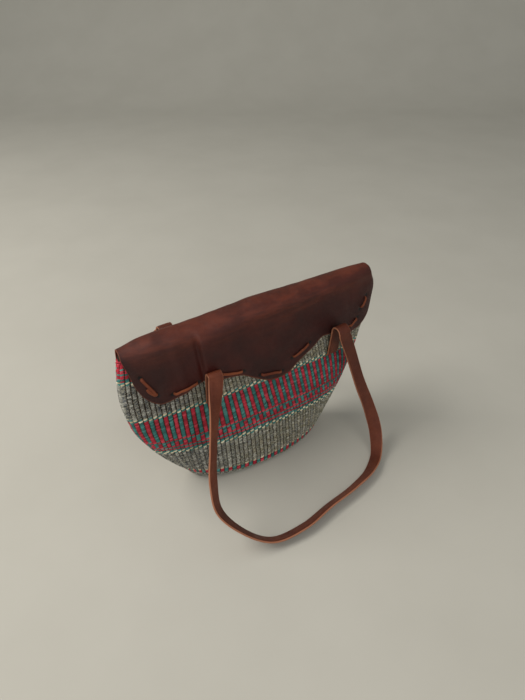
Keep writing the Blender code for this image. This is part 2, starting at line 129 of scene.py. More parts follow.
def mesh_piece(name: str, points: Array, faces: list,
               marks: dict[str, Array] | None = None) -> bpy.types.Object:
    """Make an object of points and faces, smooth, with named numbers on its points.

    Args:
        name: the piece's name.
        points: an array of places, three numbers each.
        faces: arrays of point numbers, one array for each count of corners.
        marks: point attributes by name.

    Returns:
        The new object, at the origin.
    """
    mesh = bpy.data.meshes.new(name)
    corners = np.concatenate([group.ravel() for group in faces]).astype(np.int32)
    counts = np.concatenate([np.full(len(group), group.shape[1]) for group in faces])
    starts = np.concatenate(([0], np.cumsum(counts)[:-1])).astype(np.int32)
    mesh.vertices.add(len(points))
    mesh.vertices.foreach_set("co", np.asarray(points, dtype=np.float32).ravel())
    mesh.loops.add(len(corners))
    mesh.loops.foreach_set("vertex_index", corners)
    mesh.polygons.add(len(counts))
    mesh.polygons.foreach_set("loop_start", starts)
    mesh.update(calc_edges=True)
    mesh.validate()
    mesh.shade_smooth()
    for mark, values in (marks or {}).items():
        layer = mesh.attributes.new(mark, "FLOAT", "POINT")
        layer.data.foreach_set("value", np.asarray(values, dtype=np.float32).ravel())
    piece = bpy.data.objects.new(name, mesh)
    bpy.context.scene.collection.objects.link(piece)
    return piece


def grid_faces(rows: int, columns: int, wrap: bool, offset: int = 0) -> Array:
    """Quads over a grid of points numbered row by row.

    Args:
        rows: how many rows of points.
        columns: how many points in a row.
        wrap: whether each row closes on itself.
        offset: the first point's number.

    Returns:
        An array of four point numbers for each quad.
    """
    across = columns if wrap else columns - 1
    row, column = np.meshgrid(np.arange(rows - 1), np.arange(across), indexing="ij")
    after = (column + 1) % columns
    here = row * columns + column
    beside = row * columns + after
    quads = np.stack([here, beside, beside + columns, here + columns], axis=-1)
    return quads.reshape(-1, 4) + offset


def band_piece(name: str, path: Array, across: Array, profile: Array, scale: Array,
               marks: Array, mark_name: str = "edge") -> bpy.types.Object:
    """Carry a closed profile along a path: point = path + a * across + b * normal.

    Args:
        name: the piece's name.
        path: places along the band's middle.
        across: the direction of the profile's first axis at each place.
        profile: the closed outline, (a, b) pairs going round once.
        scale: a pair of factors on the profile at each place.
        marks: a number for each point of the profile.
        mark_name: what that number is called.

    Returns:
        The band, closed by a cap at each end.
    """
    along = unit(np.gradient(path, axis=0))
    across = unit(across - along * np.sum(across * along, axis=1, keepdims=True))
    normal = np.cross(along, across)
    first = profile[None, :, 0, None] * scale[:, None, 0, None] * across[:, None]
    second = profile[None, :, 1, None] * scale[:, None, 1, None] * normal[:, None]
    points = path[:, None] + first + second
    rows, columns = points.shape[:2]
    quads = grid_faces(rows, columns, wrap=True)
    ends = np.stack([path[0], path[-1]])
    ring = np.arange(columns)
    start = np.stack([np.full(columns, rows * columns), (ring + 1) % columns, ring], axis=1)
    last = (rows - 1) * columns
    beside = last + (ring + 1) % columns
    finish = np.stack([np.full(columns, rows * columns + 1), last + ring, beside], axis=1)
    values = np.concatenate([np.tile(marks, rows), [1.0, 1.0]])
    every = np.concatenate([points.reshape(-1, 3), ends])
    return mesh_piece(name, every, [quads, start, finish], {mark_name: values})


def rounded_outline(width: float, thickness: float, corner: float, steps: int) -> tuple[Array, Array]:
    """Outline of a flat band: |a / half width|^corner + |b / half thickness|^corner = 1.

    Args:
        width: from edge to edge.
        thickness: from face to face.
        corner: 2 gives an ellipse, more gives squarer corners.
        steps: points around.

    Returns:
        The outline's points, and a number that is 1 on the two narrow edges and 0 on the faces.
    """
    angle = np.linspace(0.0, 2.0 * math.pi, steps, endpoint=False)
    cosine, sine = np.cos(angle), np.sin(angle)
    a = np.sign(cosine) * np.abs(cosine) ** (2.0 / corner) * width / 2.0
    b = np.sign(sine) * np.abs(sine) ** (2.0 / corner) * thickness / 2.0
    edge = smoothstep(0.90, 0.985, np.abs(a) / (width / 2.0))
    return np.stack([a, b], axis=1), edge


def eased(rows: Array, steps: int) -> Array:
    """A smooth route through rows of numbers: cubic pieces with slopes read across neighbours.

    Args:
        rows: places, with any further numbers that go with them.
        steps: how many steps from one row to the next.

    Returns:
        The rows and the steps between them.
    """
    gaps = np.linalg.norm(np.diff(rows[:, :3], axis=0), axis=1)
    knots = np.concatenate(([0.0], np.cumsum(gaps)))
    slopes = np.gradient(rows, knots, axis=0)
    t = (np.arange(steps) / steps)[None, :, None]
    low, high = rows[:-1, None], rows[1:, None]
    pulls = slopes[:-1, None] * t * (1.0 - t) ** 2 - slopes[1:, None] * t**2 * (1.0 - t)
    body = low * (1.0 + 2.0 * t) * (1.0 - t) ** 2 + high * t**2 * (3.0 - 2.0 * t)
    body = body + pulls * gaps[:, None, None]
    return np.concatenate([body.reshape(-1, rows.shape[1]), rows[-1:]])


def even_steps(rows: Array, step: float) -> Array:
    """Read a route again at even distances along it.

    Args:
        rows: places, with any further numbers that go with them.
        step: the distance from one to the next, about.

    Returns:
        The evenly spaced rows.
    """
    length = np.concatenate(([0.0], np.cumsum(np.linalg.norm(np.diff(rows[:, :3], axis=0), axis=1))))
    places = np.linspace(0.0, length[-1], max(int(length[-1] / step), 2))
    return np.stack([np.interp(places, length, column) for column in rows.T], axis=1)


# Shader maths


@dataclass(frozen=True)
class Wire:
    """A shader socket that takes part in sums and products."""

    nodes: "Graph"
    socket: bpy.types.NodeSocket

    def _maths(self, operation: str, first: object, second: object) -> "Wire":
        """Add a Math node for one operation on two values."""
        return self.nodes.add("ShaderNodeMath", {"operation": operation}, {0: first, 1: second})

    def __add__(self, other: object) -> "Wire":
        """This plus other."""
        return self._maths("ADD", self, other)

    def __radd__(self, other: object) -> "Wire":
        """Other plus this."""
        return self._maths("ADD", other, self)

    def __sub__(self, other: object) -> "Wire":
        """This less other."""
        return self._maths("SUBTRACT", self, other)

    def __rsub__(self, other: object) -> "Wire":
        """Other less this."""
        return self._maths("SUBTRACT", other, self)

    def __mul__(self, other: object) -> "Wire":
        """This times other."""
        return self._maths("MULTIPLY", self, other)

    def __rmul__(self, other: object) -> "Wire":
        """Other times this."""
        return self._maths("MULTIPLY", other, self)

    def span(self, low: float, high: float) -> "Wire":
        """This stretched so that low gives 0 and high gives 1, held between the two."""
        settings = {"clamp": True}
        values = {"Value": self, "From Min": low, "From Max": high}
        return self.nodes.add("ShaderNodeMapRange", settings, values)


class Graph:
    """The nodes of one material, added one at a time."""

    def __init__(self, name: str) -> None:
        """Start an empty material with its output."""
        self.material = bpy.data.materials.new(name)
        self.material.use_nodes = True
        self.tree = self.material.node_tree
        self.tree.nodes.clear()
        self.place = self.add("ShaderNodeTexCoord", {}, {}, "Object")

    def add(self, kind: str, settings: dict, values: dict, output: str | int = 0) -> Wire:
        """Add one node.

        Args:
            kind: the node's type.
            settings: its properties, set first.
            values: numbers, colours or wires for its sockets, by name or number.
            output: which of its outputs to hand back.

        Returns:
            The chosen output.
        """
        node = self.tree.nodes.new(kind)
        for key, value in settings.items():
            setattr(node, key, value)
        for key, value in values.items():
            if isinstance(value, Wire):
                self.tree.links.new(value.socket, node.inputs[key])
            else:
                node.inputs[key].default_value = value
        return Wire(self, node.outputs[output])

    def mark(self, name: str) -> Wire:
        """A number stored on the mesh's points."""
        return self.add("ShaderNodeAttribute", {"attribute_name": name}, {}, "Fac")

    def noise(self, scale: float, detail: float = 3.0, rough: float = 0.55,
              place: Wire | None = None) -> Wire:
        """Soft noise of the given waves per metre, from about 0.3 to 0.7."""
        values = {"Vector": place or self.place, "Scale": scale, "Detail": detail, "Roughness": rough}
        return self.add("ShaderNodeTexNoise", {}, values, "Fac")

    def cells(self, scale: float, place: Wire | None = None) -> Wire:
        """Distance to the edges of small cells, as in pebbled leather."""
        settings = {"feature": "DISTANCE_TO_EDGE"}
        values = {"Vector": place or self.place, "Scale": scale}
        return self.add("ShaderNodeTexVoronoi", settings, values, "Distance")

    def stretched(self, scale: tuple[float, float, float]) -> Wire:
        """The place, stretched by a factor for each axis."""
        return self.add("ShaderNodeMapping", {}, {"Vector": self.place, "Scale": scale})

    def blend(self, share: Wire | float, low: object, high: object) -> Wire:
        """A colour between two colours."""
        values = {0: share, 6: low, 7: high}
        return self.add("ShaderNodeMix", {"data_type": "RGBA"}, values, 2)

    def bumps(self, height: Wire, depth: float) -> Wire:
        """A surface normal raised by a height, in metres."""
        return self.add("ShaderNodeBump", {}, {"Height": height, "Strength": 1.0, "Distance": depth})

    def surface(self, sockets: dict) -> bpy.types.Material:
        """End the material in a Principled shader with the given sockets."""
        shader = self.add("ShaderNodeBsdfPrincipled", {}, sockets, "BSDF")
        self.add_output(shader)
        return self.material

    def add_output(self, shader: Wire) -> None:
        """Join a shader to the material's output."""
        output = self.tree.nodes.new("ShaderNodeOutputMaterial")
        self.tree.links.new(shader.socket, output.inputs["Surface"])


def colour(red: float, green: float, blue: float) -> tuple[float, float, float, float]:
    """A colour given as it looks on a screen, turned into light: c^2.2."""
    return (red**2.2, green**2.2, blue**2.2, 1.0)


@dataclass(frozen=True)
class YarnFinish:
    """Hand-spun sisal yarn: fibrous, matt, a little uneven in colour.

    The greys also have a `ply`, the colour of their second strand, and a `far` colour that takes
    over to the right of the bag's left quarter.
    """

    name: str
    main: tuple
    pale: tuple
    deep: tuple
    far: tuple | None = None
    ply: tuple | None = None
    flecks: float = 0.35

    def make(self) -> bpy.types.Material:
        """Build the yarn's material, where each stitch's own tone shifts it to pale or deep.

        Returns:
            The material.
        """
        g = Graph(self.name)
        drift = g.noise(38.0, 2.0).span(0.36, 0.64)
        fibre = g.noise(900.0, 4.0, 0.7).span(0.35, 0.68)
        stitch = g.mark("tone")
        base = g.blend(stitch.span(0.0, 0.55), self.deep, self.main)
        base = g.blend(stitch.span(0.55, 1.0) * 0.7, base, self.pale)
        base = g.blend(fibre * self.flecks, base, self.pale)
        base = g.blend(drift * 0.35, base, self.deep)
        if self.far:
            reach = g.add("ShaderNodeSeparateXYZ", {}, {0: g.place}, "X")
            side = (reach + (g.noise(9.0, 1.0) - 0.5) * 0.25).span(-0.13, -0.03)
            distant = g.blend(stitch.span(0.3, 1.0) * 0.6, self.far, self.pale)
            base = g.blend(side, base, distant)
        if self.ply:
            strand = g.noise(560.0, 2.0, 0.6).span(0.47, 0.56)
            base = g.blend(strand * 0.72, base, self.ply)
        relief = g.noise(1400.0, 2.0, 0.6) + g.noise(420.0, 1.0) * 0.8
        return g.surface({
            "Base Color": base,
            "Roughness": 0.62 + fibre * 0.2,
            "Specular IOR Level": 0.32,
            "Normal": g.bumps(relief, 0.00022),
        })


@dataclass(frozen=True)
class GroundFinish:
    """The warp behind the stitches, painted dark as the shade in the gaps between them, and the same twining
    seen on the inside.
    """

    name: str = "sisal_ground"
    # Dark: painted shade seen in the gaps between the stitches.
    warp_in_gap_shade: tuple = colour(0.20, 0.17, 0.14)
    light: tuple = colour(0.55, 0.50, 0.42)

    def make(self) -> bpy.types.Material:
        """Build the material: slanted rows by the weave's own map, dark on the outside as painted shade
        between the stitches.

        Returns:
            The material.
        """
        g = Graph(self.name)
        weave = g.add("ShaderNodeUVMap", {"uv_map": "weave"}, {}, "UV")
        rows = g.add("ShaderNodeTexWave", {"wave_type": "BANDS", "bands_direction": "DIAGONAL"},
                     {"Vector": weave, "Scale": 1.0, "Distortion": 1.2, "Detail": 1.0}, "Fac")
        inside = g.mark("inside")
        shade = g.noise(300.0, 3.0)
        # Outside, the warp colour is painted shade for the gaps between stitches; inside, the twining's rows
        # show.
        base = g.blend(inside * rows.span(0.2, 0.8) * 0.9, self.warp_in_gap_shade, self.light)
        base = g.blend(shade.span(0.4, 0.7) * 0.4, base, self.warp_in_gap_shade)
        relief = rows * inside * 1.5 + shade * 0.5
        return g.surface({
            "Base Color": base,
            "Roughness": 0.9,
            "Specular IOR Level": 0.2,
            "Normal": g.bumps(relief, 0.0006),
        })


@dataclass(frozen=True)
class HideFinish:
    """Waxed cowhide: mottled, finely grained, paler where it is cut or rubbed, and paler along the flap's
    ridge as painted highlight.
    """

    name: str
    dark: tuple
    main: tuple
    # Pale tone for rubbed wear, and for the painted highlight along the flap's ridge.
    worn_and_lit: tuple
    cut_edge: tuple
    rough: float = 0.5
    grain: float = 1.0
    coat: float = 0.0

    def make(self) -> bpy.types.Material:
        """Build the leather's material from its colours and the marks on its mesh.

        Returns:
            The material.
        """
        g = Graph(self.name)
        edge = g.mark("edge")
        rub_and_ridge_light = g.mark("rub_and_ridge_light")
        cloud = g.noise(16.0, 5.0, 0.6).span(0.35, 0.68)
        blotch = g.noise(55.0, 4.0, 0.65).span(0.38, 0.66)
        streak = g.noise(30.0, 4.0, 0.6, g.stretched((1.0, 1.0, 5.0))).span(0.42, 0.68)
        pores = g.noise(1500.0, 3.0, 0.6)
        cells = g.cells(750.0)
        base = g.blend(cloud, self.dark, self.main)
        base = g.blend(blotch * 0.35, base, self.dark)
        # Paler towards the flap's ridge: partly real rubbing, partly painted highlight where light falls on
        # the ridge.
        base = g.blend((rub_and_ridge_light * (0.45 + streak * 0.75)).span(0.0, 1.0), base, self.worn_and_lit)
        base = g.blend(cells.span(0.10, 0.0) * 0.25, base, self.dark)
        base = g.blend(edge * (0.55 + pores * 0.7), base, self.cut_edge)
        # Painted shade in the lacing slots, which are not cut: near black over each slot.
        base = g.blend(g.mark("hole_shade").span(0.25, 0.75), base, colour(0.05, 0.02, 0.015))
        scuffs = g.noise(120.0, 6.0, 0.7).span(0.56, 0.72)
        base = g.blend(scuffs * 0.12, base, self.worn_and_lit)
        relief = cells.span(0.0, 0.22) * 0.8 + pores * 0.6 + g.noise(240.0, 3.0) * 1.4
        rough = self.rough + (blotch - 0.5) * 0.14 + edge * 0.22
        return g.surface({
            "Base Color": base,
            "Roughness": rough,
            "Specular IOR Level": 0.34,
            "Coat Weight": self.coat,
            "Coat Roughness": 0.4,
            "Normal": g.bumps(relief, 0.00022 * self.grain),
        })


@dataclass(frozen=True)
class PlainFinish:
    """A plain floor or wall with a faint unevenness."""

    name: str
    main: tuple
    other: tuple

    def make(self) -> bpy.types.Material:
        """Build the material.

        Returns:
            The material.
        """
        g = Graph(self.name)
        tone = g.noise(5.0, 4.0).span(0.35, 0.65)
        return g.surface({"Base Color": g.blend(tone * 0.5, self.main, self.other), "Roughness": 0.85})


# The basket


class Yarn(Enum):
    """The yarns that the basket is twined from."""

    RED = "red_yarn"
    TEAL = "teal_yarn"
    CREAM = "cream_yarn"
    PALE_GREY = "pale_grey_yarn"
    DARK_GREY = "dark_grey_yarn"


class Row(Enum):
    """How one row of the weave lays its two yarns over the ribs."""

    RED_LINE = (Yarn.RED, Yarn.RED)
    TEAL_LINE = (Yarn.TEAL, Yarn.TEAL)
    STRIPE = (Yarn.RED, Yarn.TEAL)
    COUNTER_STRIPE = (Yarn.TEAL, Yarn.RED)
    CREAM_FIRST = (Yarn.CREAM, Yarn.TEAL)
    CREAM_SECOND = (Yarn.TEAL, Yarn.CREAM)
    CREAM_GREY = (Yarn.CREAM, Yarn.DARK_GREY)
    GREY = (Yarn.PALE_GREY, Yarn.DARK_GREY)


# Each yarn's look: its main, pale and deep colours, and for the greys the far and ply colours
YARNS = {
    Yarn.RED: YarnFinish("red_yarn", colour(0.74, 0.13, 0.22), colour(0.88, 0.36, 0.40),
                         colour(0.50, 0.07, 0.13)),
    Yarn.TEAL: YarnFinish("teal_yarn", colour(0.20, 0.47, 0.45), colour(0.42, 0.66, 0.62),
                          colour(0.10, 0.29, 0.28)),
    Yarn.CREAM: YarnFinish("cream_yarn", colour(0.90, 0.85, 0.70), colour(0.96, 0.92, 0.80),
                           colour(0.62, 0.55, 0.42)),
    Yarn.PALE_GREY: YarnFinish("pale_grey_yarn", colour(0.68, 0.67, 0.62), colour(0.84, 0.83, 0.78),
                               colour(0.46, 0.44, 0.40), far=colour(0.60, 0.57, 0.47),
                               ply=colour(0.25, 0.24, 0.22)),
    Yarn.DARK_GREY: YarnFinish("dark_grey_yarn", colour(0.26, 0.27, 0.29), colour(0.50, 0.51, 0.52),
                               colour(0.14, 0.14, 0.15), far=colour(0.37, 0.36, 0.30),
                               ply=colour(0.66, 0.64, 0.56), flecks=0.25),
}

# The weave from the rim down: how many rows of each kind
CHART = (
    (4, Row.RED_LINE),
    (1, Row.STRIPE), (2, Row.RED_LINE), (1, Row.TEAL_LINE), (2, Row.RED_LINE),
    (1, Row.TEAL_LINE), (1, Row.COUNTER_STRIPE),
    (1, Row.CREAM_FIRST), (1, Row.CREAM_SECOND),
    (20, Row.GREY),
    (1, Row.CREAM_FIRST), (1, Row.CREAM_SECOND),
    (17, Row.STRIPE),
    (1, Row.RED_LINE), (1, Row.TEAL_LINE),
    (3, Row.COUNTER_STRIPE),
    (1, Row.RED_LINE), (1, Row.TEAL_LINE), (1, Row.RED_LINE), (1, Row.TEAL_LINE),
    (1, Row.CREAM_FIRST), (1, Row.CREAM_SECOND),
    (18, Row.GREY),
    (1, Row.CREAM_GREY),
    (3, Row.STRIPE),
)


@dataclass
class BasketForm:
    """The basket's outer shape: rings of set reach, depth and squareness over its height."""

    half_length: float = 0.2025
    belly_depth: float = 0.0425
    rim_height: float = 0.257
    wall: float = 0.0035
    # Columns: height, left reach, right reach, depth, squareness, all but the last as shares
    rings: tuple = (
        (0.000, 0.54, 0.49, 0.85, 2.0),
        (0.016, 0.59, 0.53, 0.99, 2.0),
        (0.078, 0.64, 0.57, 1.00, 2.2),
        (0.195, 0.75, 0.66, 0.91, 2.5),
        (0.350, 0.87, 0.77, 0.78, 2.8),
        (0.545, 0.97, 0.87, 0.65, 3.0),
        (0.740, 1.00, 0.93, 0.53, 3.0),
        (0.895, 0.985, 0.945, 0.46, 2.8),
        (1.000, 0.96, 0.935, 0.41, 2.6),
    )

    def column(self, index: int, share: Array) -> Array:
        """One column of the rings at shares of the rim's height."""
        rows = tuple((ring[0], ring[index]) for ring in self.rings)
        return table_curve(rows, np.clip(share, 0.0, 1.0))

    def half_depth(self, x: Array, z: Array, end_gap: float = 0.0, side_gap: float = 0.0) -> Array:
        """Half the basket's depth: depth * (1 - |x / reach|^n)^(1/n).

        Args:
            x: places along the mouth.
            z: heights.
            end_gap: how far the shape stands off at its ends.
            side_gap: how far it stands off front and back.

        Returns:
            The distance from the middle plane to the outer face.
        """
        share = np.asarray(z) / self.rim_height
        reach = np.where(np.asarray(x) < 0.0, self.column(1, share), self.column(2, share))
        along = np.clip(np.abs(x) / (reach * self.half_length + end_gap), 0.0, 0.9999)
        square = self.column(4, share)
        depth = self.column(3, share) * self.belly_depth + side_gap
        return depth * (1.0 - along**square) ** (1.0 / square)

    def ring(self, height: Array, turn: Array, inset: Array) -> Array:
        """Points on rings: x and y are signed powers 2/n of the turn's cosine and sine.

        Args:
            height: heights, broadcast against the turns.
            turn: angles around the ring.
            inset: how far the ring is drawn in.

        Returns:
            The points.
        """
        height, turn, inset = np.broadcast_arrays(height, turn, inset)
        share = height / self.rim_height
        power = 2.0 / self.column(4, share)
        cosine, sine = np.cos(turn), np.sin(turn)
        reach = np.where(cosine < 0.0, self.column(1, share), self.column(2, share))
        side = np.maximum(reach * self.half_length - inset, 1e-4)
        deep = np.maximum(self.column(3, share) * self.belly_depth - inset, 1e-4)
        x = np.sign(cosine) * np.abs(cosine) ** power * side
        y = np.sign(sine) * np.abs(sine) ** power * deep
        return np.stack([x, y, height], axis=-1)


@dataclass
class Basket:
    """The twined basket: a ground of warps, painted dark as the shade between the stitches, with every stitch
    of the weave laid on it.
    """

    form: BasketForm
    ribs: int = 140
    row_pitch: float = 0.00292
    stitch_width: float = 0.0028
    stitch_overlap: float = 1.04
    slant: float = 0.36
    ground_depth: float = 0.0019
    stitch_depth: float = 0.0014
    twist: float = 0.20
    twist_from: float = 0.155
    twist_to: float = 0.078
    rib_spread: float = 0.16
    squeeze: float = 4.0
    left_rise: float = 0.013
    left_dip: float = 0.008
    base_rows: int = 11
    grey_flips: float = 0.10
    length_spread: float = 0.05
    width_spread: float = 0.08
    slant_spread: float = 0.18
    proud_spread: float = 0.00014
    stitch_sides: int = 6
    stitch_bow: float = 1.05
    rim_inset: float = 0.62
    rim_lift: float = 0.0002
    rim_half_width: float = 0.0018
    rim_slant: float = 0.55
    shell_columns: int = 180
    # Rows of the shell: down the outside, in under the base and back, up the inside
    shell_rows: tuple = (100, 9, 60)
    # Sizes of the tables of quarter lengths: levels of wall and base, turns read, shares kept
    arc_steps: tuple = (90, 20, 400, 240)
    pieces: list = field(default_factory=list)

    @property
    def rows(self) -> int:
        """Count of rows from the rim to the middle of the base."""
        return int(round(self.form.rim_height / self.row_pitch)) + self.base_rows

    @cached_property
    def arcs(self) -> tuple[Array, Array, Array, Array, Array]:
        """Tables of the rings' quarter lengths, from the middle plane x = 0 to either end.

        Returns:
            Distances down from the rim, the left and right lengths there, and for each distance
            the turn from the end at even shares of the left and of the right length.
        """
        on_wall, on_base, turns, shares = self.arc_steps
        down = np.concatenate([np.linspace(0.0, self.form.rim_height, on_wall),
                               self.form.rim_height + np.linspace(0.0005, 0.0345, on_base)])
        height, inset = self.level(down)
        turn = np.linspace(0.0, math.pi / 2.0, turns)
        tables = []
        for offset in (math.pi / 2.0, 0.0):
            way = turn + offset if offset else math.pi / 2.0 - turn
            points = self.form.ring(height[:, None], way[None], inset[:, None])
            steps = np.linalg.norm(np.diff(points, axis=1), axis=2)
            length = np.concatenate([np.zeros((len(down), 1)), np.cumsum(steps, axis=1)], axis=1)
            share = np.linspace(0.0, 1.0, shares)
            found = [np.interp(share * row[-1], row, turn) for row in length]
            tables.append((length[:, -1], np.array(found)))
        return down, tables[0][0], tables[1][0], tables[0][1], tables[1][1]

    def level(self, down: Array) -> tuple[Array, Array]:
        """Height and inset of a place a distance down from the rim, over the wall and base."""
        height = np.clip(self.form.rim_height - down, 0.0006, None)
        return height, np.clip(down - self.form.rim_height, 0.0, None)

    def row_place(self, row: Array, share: Array) -> Array:
        """Distance down from the rim of a row, where rows rise and dip at the bag's left end."""
        down = (row + 0.5) * self.row_pitch
        apart = np.minimum(np.mod(share, 1.0), 1.0 - np.mod(share, 1.0))
        rise = self.left_rise * smoothstep(0.20, 0.02, apart) * np.clip((down - 0.10) / 0.085, 0.0, 1.45)
        dip = self.left_dip * smoothstep(0.07, 0.0, apart) * np.clip(1.0 - down / 0.05, 0.0, 1.0)
        return np.clip(down - rise + dip, 0.0, self.form.rim_height + 0.034)

    def at(self, row: Array, share: Array) -> Array:
        """Points of the weave: ribs keep their x, are squeezed at the ends, and twist to the right.

        Args:
            row: row numbers, whole or not.
            share: shares of the way round: left end 0, right end 0.5, and back over the rear.

        Returns:
            The points.
        """
        levels, left, right, left_turns, right_turns = self.arcs
        row, share = np.broadcast_arrays(np.asarray(row, float), np.asarray(share, float))
        down = self.row_place(row, share)
        index = np.arange(len(levels))
        level = np.interp(down, levels, index)
        left_now, right_now = np.interp(down, levels, left), np.interp(down, levels, right)
        middle = self.form.rim_height - self.twist_from
        left_then, right_then = np.interp(middle, levels, left), np.interp(middle, levels, right)
        share = np.mod(share, 1.0)
        rear = share > 0.5
        part = np.where(rear, 2.0 - 2.0 * share, 2.0 * share)
        part = part * (1.0 + self.rib_spread * (1.0 - part))
        along = part * (left_then + right_then) - left_then
        along = np.where(along < 0.0, -self.squeezed(-along, left_now, left_then),
                         self.squeezed(along, right_now, right_then))
        total = left_now + right_now
        around = np.where(rear, total + right_now - along, left_now + along)
        height, inset = self.level(down)
        reach = smoothstep(0.16, 0.52, part)
        around = np.mod(around + self.twist * reach * (self.twist_from - np.maximum(height, self.twist_to)),
                        2.0 * total)
        behind = around > total
        place = np.where(behind, right_now - (around - total), around - left_now)
        lean = np.where(place < 0.0, -place / left_now, place / right_now)
        turn = np.where(place < 0.0, self.read(left_turns, level, lean), self.read(right_turns, level, lean))
        turn = np.where(place < 0.0, math.pi / 2.0 + turn, math.pi / 2.0 - turn)
        turn = np.where(behind, turn, -turn)
        return self.form.ring(height, turn, inset)

    def squeezed(self, along: Array, now: Array, then: float) -> Array:
        """Place on a ring of one length of a rib placed on a ring of another: t / (1 + t^p k)^(1/p)."""
        share = np.clip(along / now, 0.0, None)
        end = then / now
        factor = 1.0 + share**self.squeeze * (1.0 - end**-self.squeeze)
        return now * np.clip(share / np.maximum(factor, 1e-6) ** (1.0 / self.squeeze), 0.0, 1.0)

    def read(self, table: Array, level: Array, share: Array) -> Array:
        """Read a table between its rows and columns."""
        row = np.clip(level, 0, table.shape[0] - 1.001)
        column = np.clip(share, 0.0, 1.0) * (table.shape[1] - 1.001)
        i, j = row.astype(int), column.astype(int)
        down, over = row - i, column - j
        low = table[i, j] * (1.0 - over) + table[i, j + 1] * over
        high = table[i + 1, j] * (1.0 - over) + table[i + 1, j + 1] * over
        return low * (1.0 - down) + high * down

    def surface(self, rows: Array, share: Array) -> tuple[Array, Array, Array, Array]:
        """The weave's surface and its directions at rows and shares around.

        Args:
            rows: row numbers, one for each row of shares.
            share: shares around.

        Returns:
            Points, then unit directions along the row, up the wall and outwards.
        """
        rows = rows[:, None]
        points = self.at(rows, share)
        along = unit(self.at(rows, share + 0.0012) - self.at(rows, share - 0.0012))
        up = unit(self.at(rows - 0.5, share) - self.at(rows + 0.5, share))
        out = unit(np.cross(along, up))
        return points, along, unit(np.cross(out, along)), out

    def chart(self) -> list[Row]:
        """The kind of every row from the rim down to the middle of the base."""
        kinds = [kind for count, kind in CHART for _ in range(count)]
        return (kinds + [Row.GREY] * self.rows)[: self.rows]

    def stitches(self) -> dict[Yarn, list]:
        """Every stitch's place, directions and sizes, sorted by yarn.

        Returns:
            For each yarn, arrays of centres, three directions, half lengths, half widths, leans,
            how far each stands proud, and tones.
        """
        kinds = self.chart()
        wall_rows = len(kinds) - self.base_rows
        found: dict[Yarn, list] = {yarn: [] for yarn in Yarn}
        dice = np.random.default_rng(7)
        for start, end, ribs in ((0, wall_rows + 1, self.ribs), (wall_rows + 1, len(kinds), self.ribs // 2)):
            rows = np.arange(start, end).astype(float)
            shares = (np.arange(ribs) + 0.5) / ribs
            place = np.repeat(shares[None], len(rows), axis=0)
            points, along, up, out = self.surface(rows, place)
            gap = np.linalg.norm(self.at(rows[:, None], place + 1.0 / ribs) - points, axis=2)
            gap = np.clip(gap, 0.0025, 0.0075 * self.ribs / ribs)
            parity = np.arange(ribs) % 2
            yarns = np.array([[kinds[int(row)].value[side] for side in parity] for row in rows])
            greys = np.isin(yarns, [Yarn.PALE_GREY, Yarn.DARK_GREY])
            flips = greys & (dice.random(yarns.shape) < self.grey_flips)
            swapped = np.where(yarns == Yarn.PALE_GREY, Yarn.DARK_GREY, Yarn.PALE_GREY)
            yarns = np.where(flips, swapped, yarns)
            half = gap / 2.0 * self.stitch_overlap * dice.normal(1.0, self.length_spread, gap.shape)
            wide = self.stitch_width / 2.0 * dice.normal(1.0, self.width_spread, gap.shape)
            lean = self.slant * dice.normal(1.0, self.slant_spread, gap.shape)
            proud = dice.normal(0.0, self.proud_spread, gap.shape)
            tone = dice.random(gap.shape)
            every = (points, along, up, out, half, wide, lean, proud, tone)
            for yarn in Yarn:
                mask = yarns == yarn
                found[yarn].append([item[mask] for item in every])
        return {yarn: [np.concatenate(parts) for parts in zip(*groups)] for yarn, groups in found.items()}

    def stitch_shape(self) -> tuple[Array, Array, Array, list]:
        """One plump stitch: a tube half as thick at its ends, bowed so that they dive in.

        Returns:
            Along, across and out factors of its points, then its faces.
        """
        place = np.array([-1.0, -0.5, 0.5, 1.0])
        size = np.array([0.5, 1.0, 1.0, 0.5])
        sides = self.stitch_sides
        angle = np.linspace(0.0, 2.0 * math.pi, sides, endpoint=False)
        along = np.repeat(place[:, None], sides, axis=1)
        across = size[:, None] * np.cos(angle)[None]
        out = size[:, None] * np.sin(angle)[None] - self.stitch_bow * (place[:, None] ** 2)
        quads = grid_faces(len(place), sides, wrap=True)
        first = np.array([[0, 1, 2, 3], [0, 3, 4, 5]])
        last = first[:, ::-1] + (len(place) - 1) * sides
        faces = [np.concatenate([quads, last, first])]
        return along.ravel(), across.ravel(), out.ravel(), faces

    def lay_yarn(self, yarn: Yarn, parts: list, finish: YarnFinish) -> bpy.types.Object:
        """Lay all the stitches of one yarn: point = centre + along * a + up * b + out * c.

        Args:
            yarn: which yarn.
            parts: the stitches' centres, directions and sizes.
            finish: the yarn's look.

        Returns:
            The piece with all of them.
        """
        centre, along, up, out, half, wide, lean, proud, tone = parts
        a, b, c, faces = self.stitch_shape()
        direction = unit(along + up * lean[:, None])
        side = unit(np.cross(out, direction))
        base = centre + out * (proud - self.stitch_depth)[:, None]
        points = base[:, None] + direction[:, None] * (a[None, :, None] * half[:, None, None])
        points = points + side[:, None] * (b[None, :, None] * wide[:, None, None])
        points = points + out[:, None] * (c[None, :, None] * self.stitch_depth)
        count = len(a)
        offsets = (np.arange(len(centre)) * count)[:, None, None]
        every = [(group[None] + offsets).reshape(-1, group.shape[1]) for group in faces]
        flat = points.reshape(-1, 3)
        flat[:, 2] = np.maximum(flat[:, 2], 0.0)
        piece = mesh_piece(yarn.value, flat, every, {"tone": np.repeat(tone, count)})
        piece.data.materials.append(finish.make())
        return piece

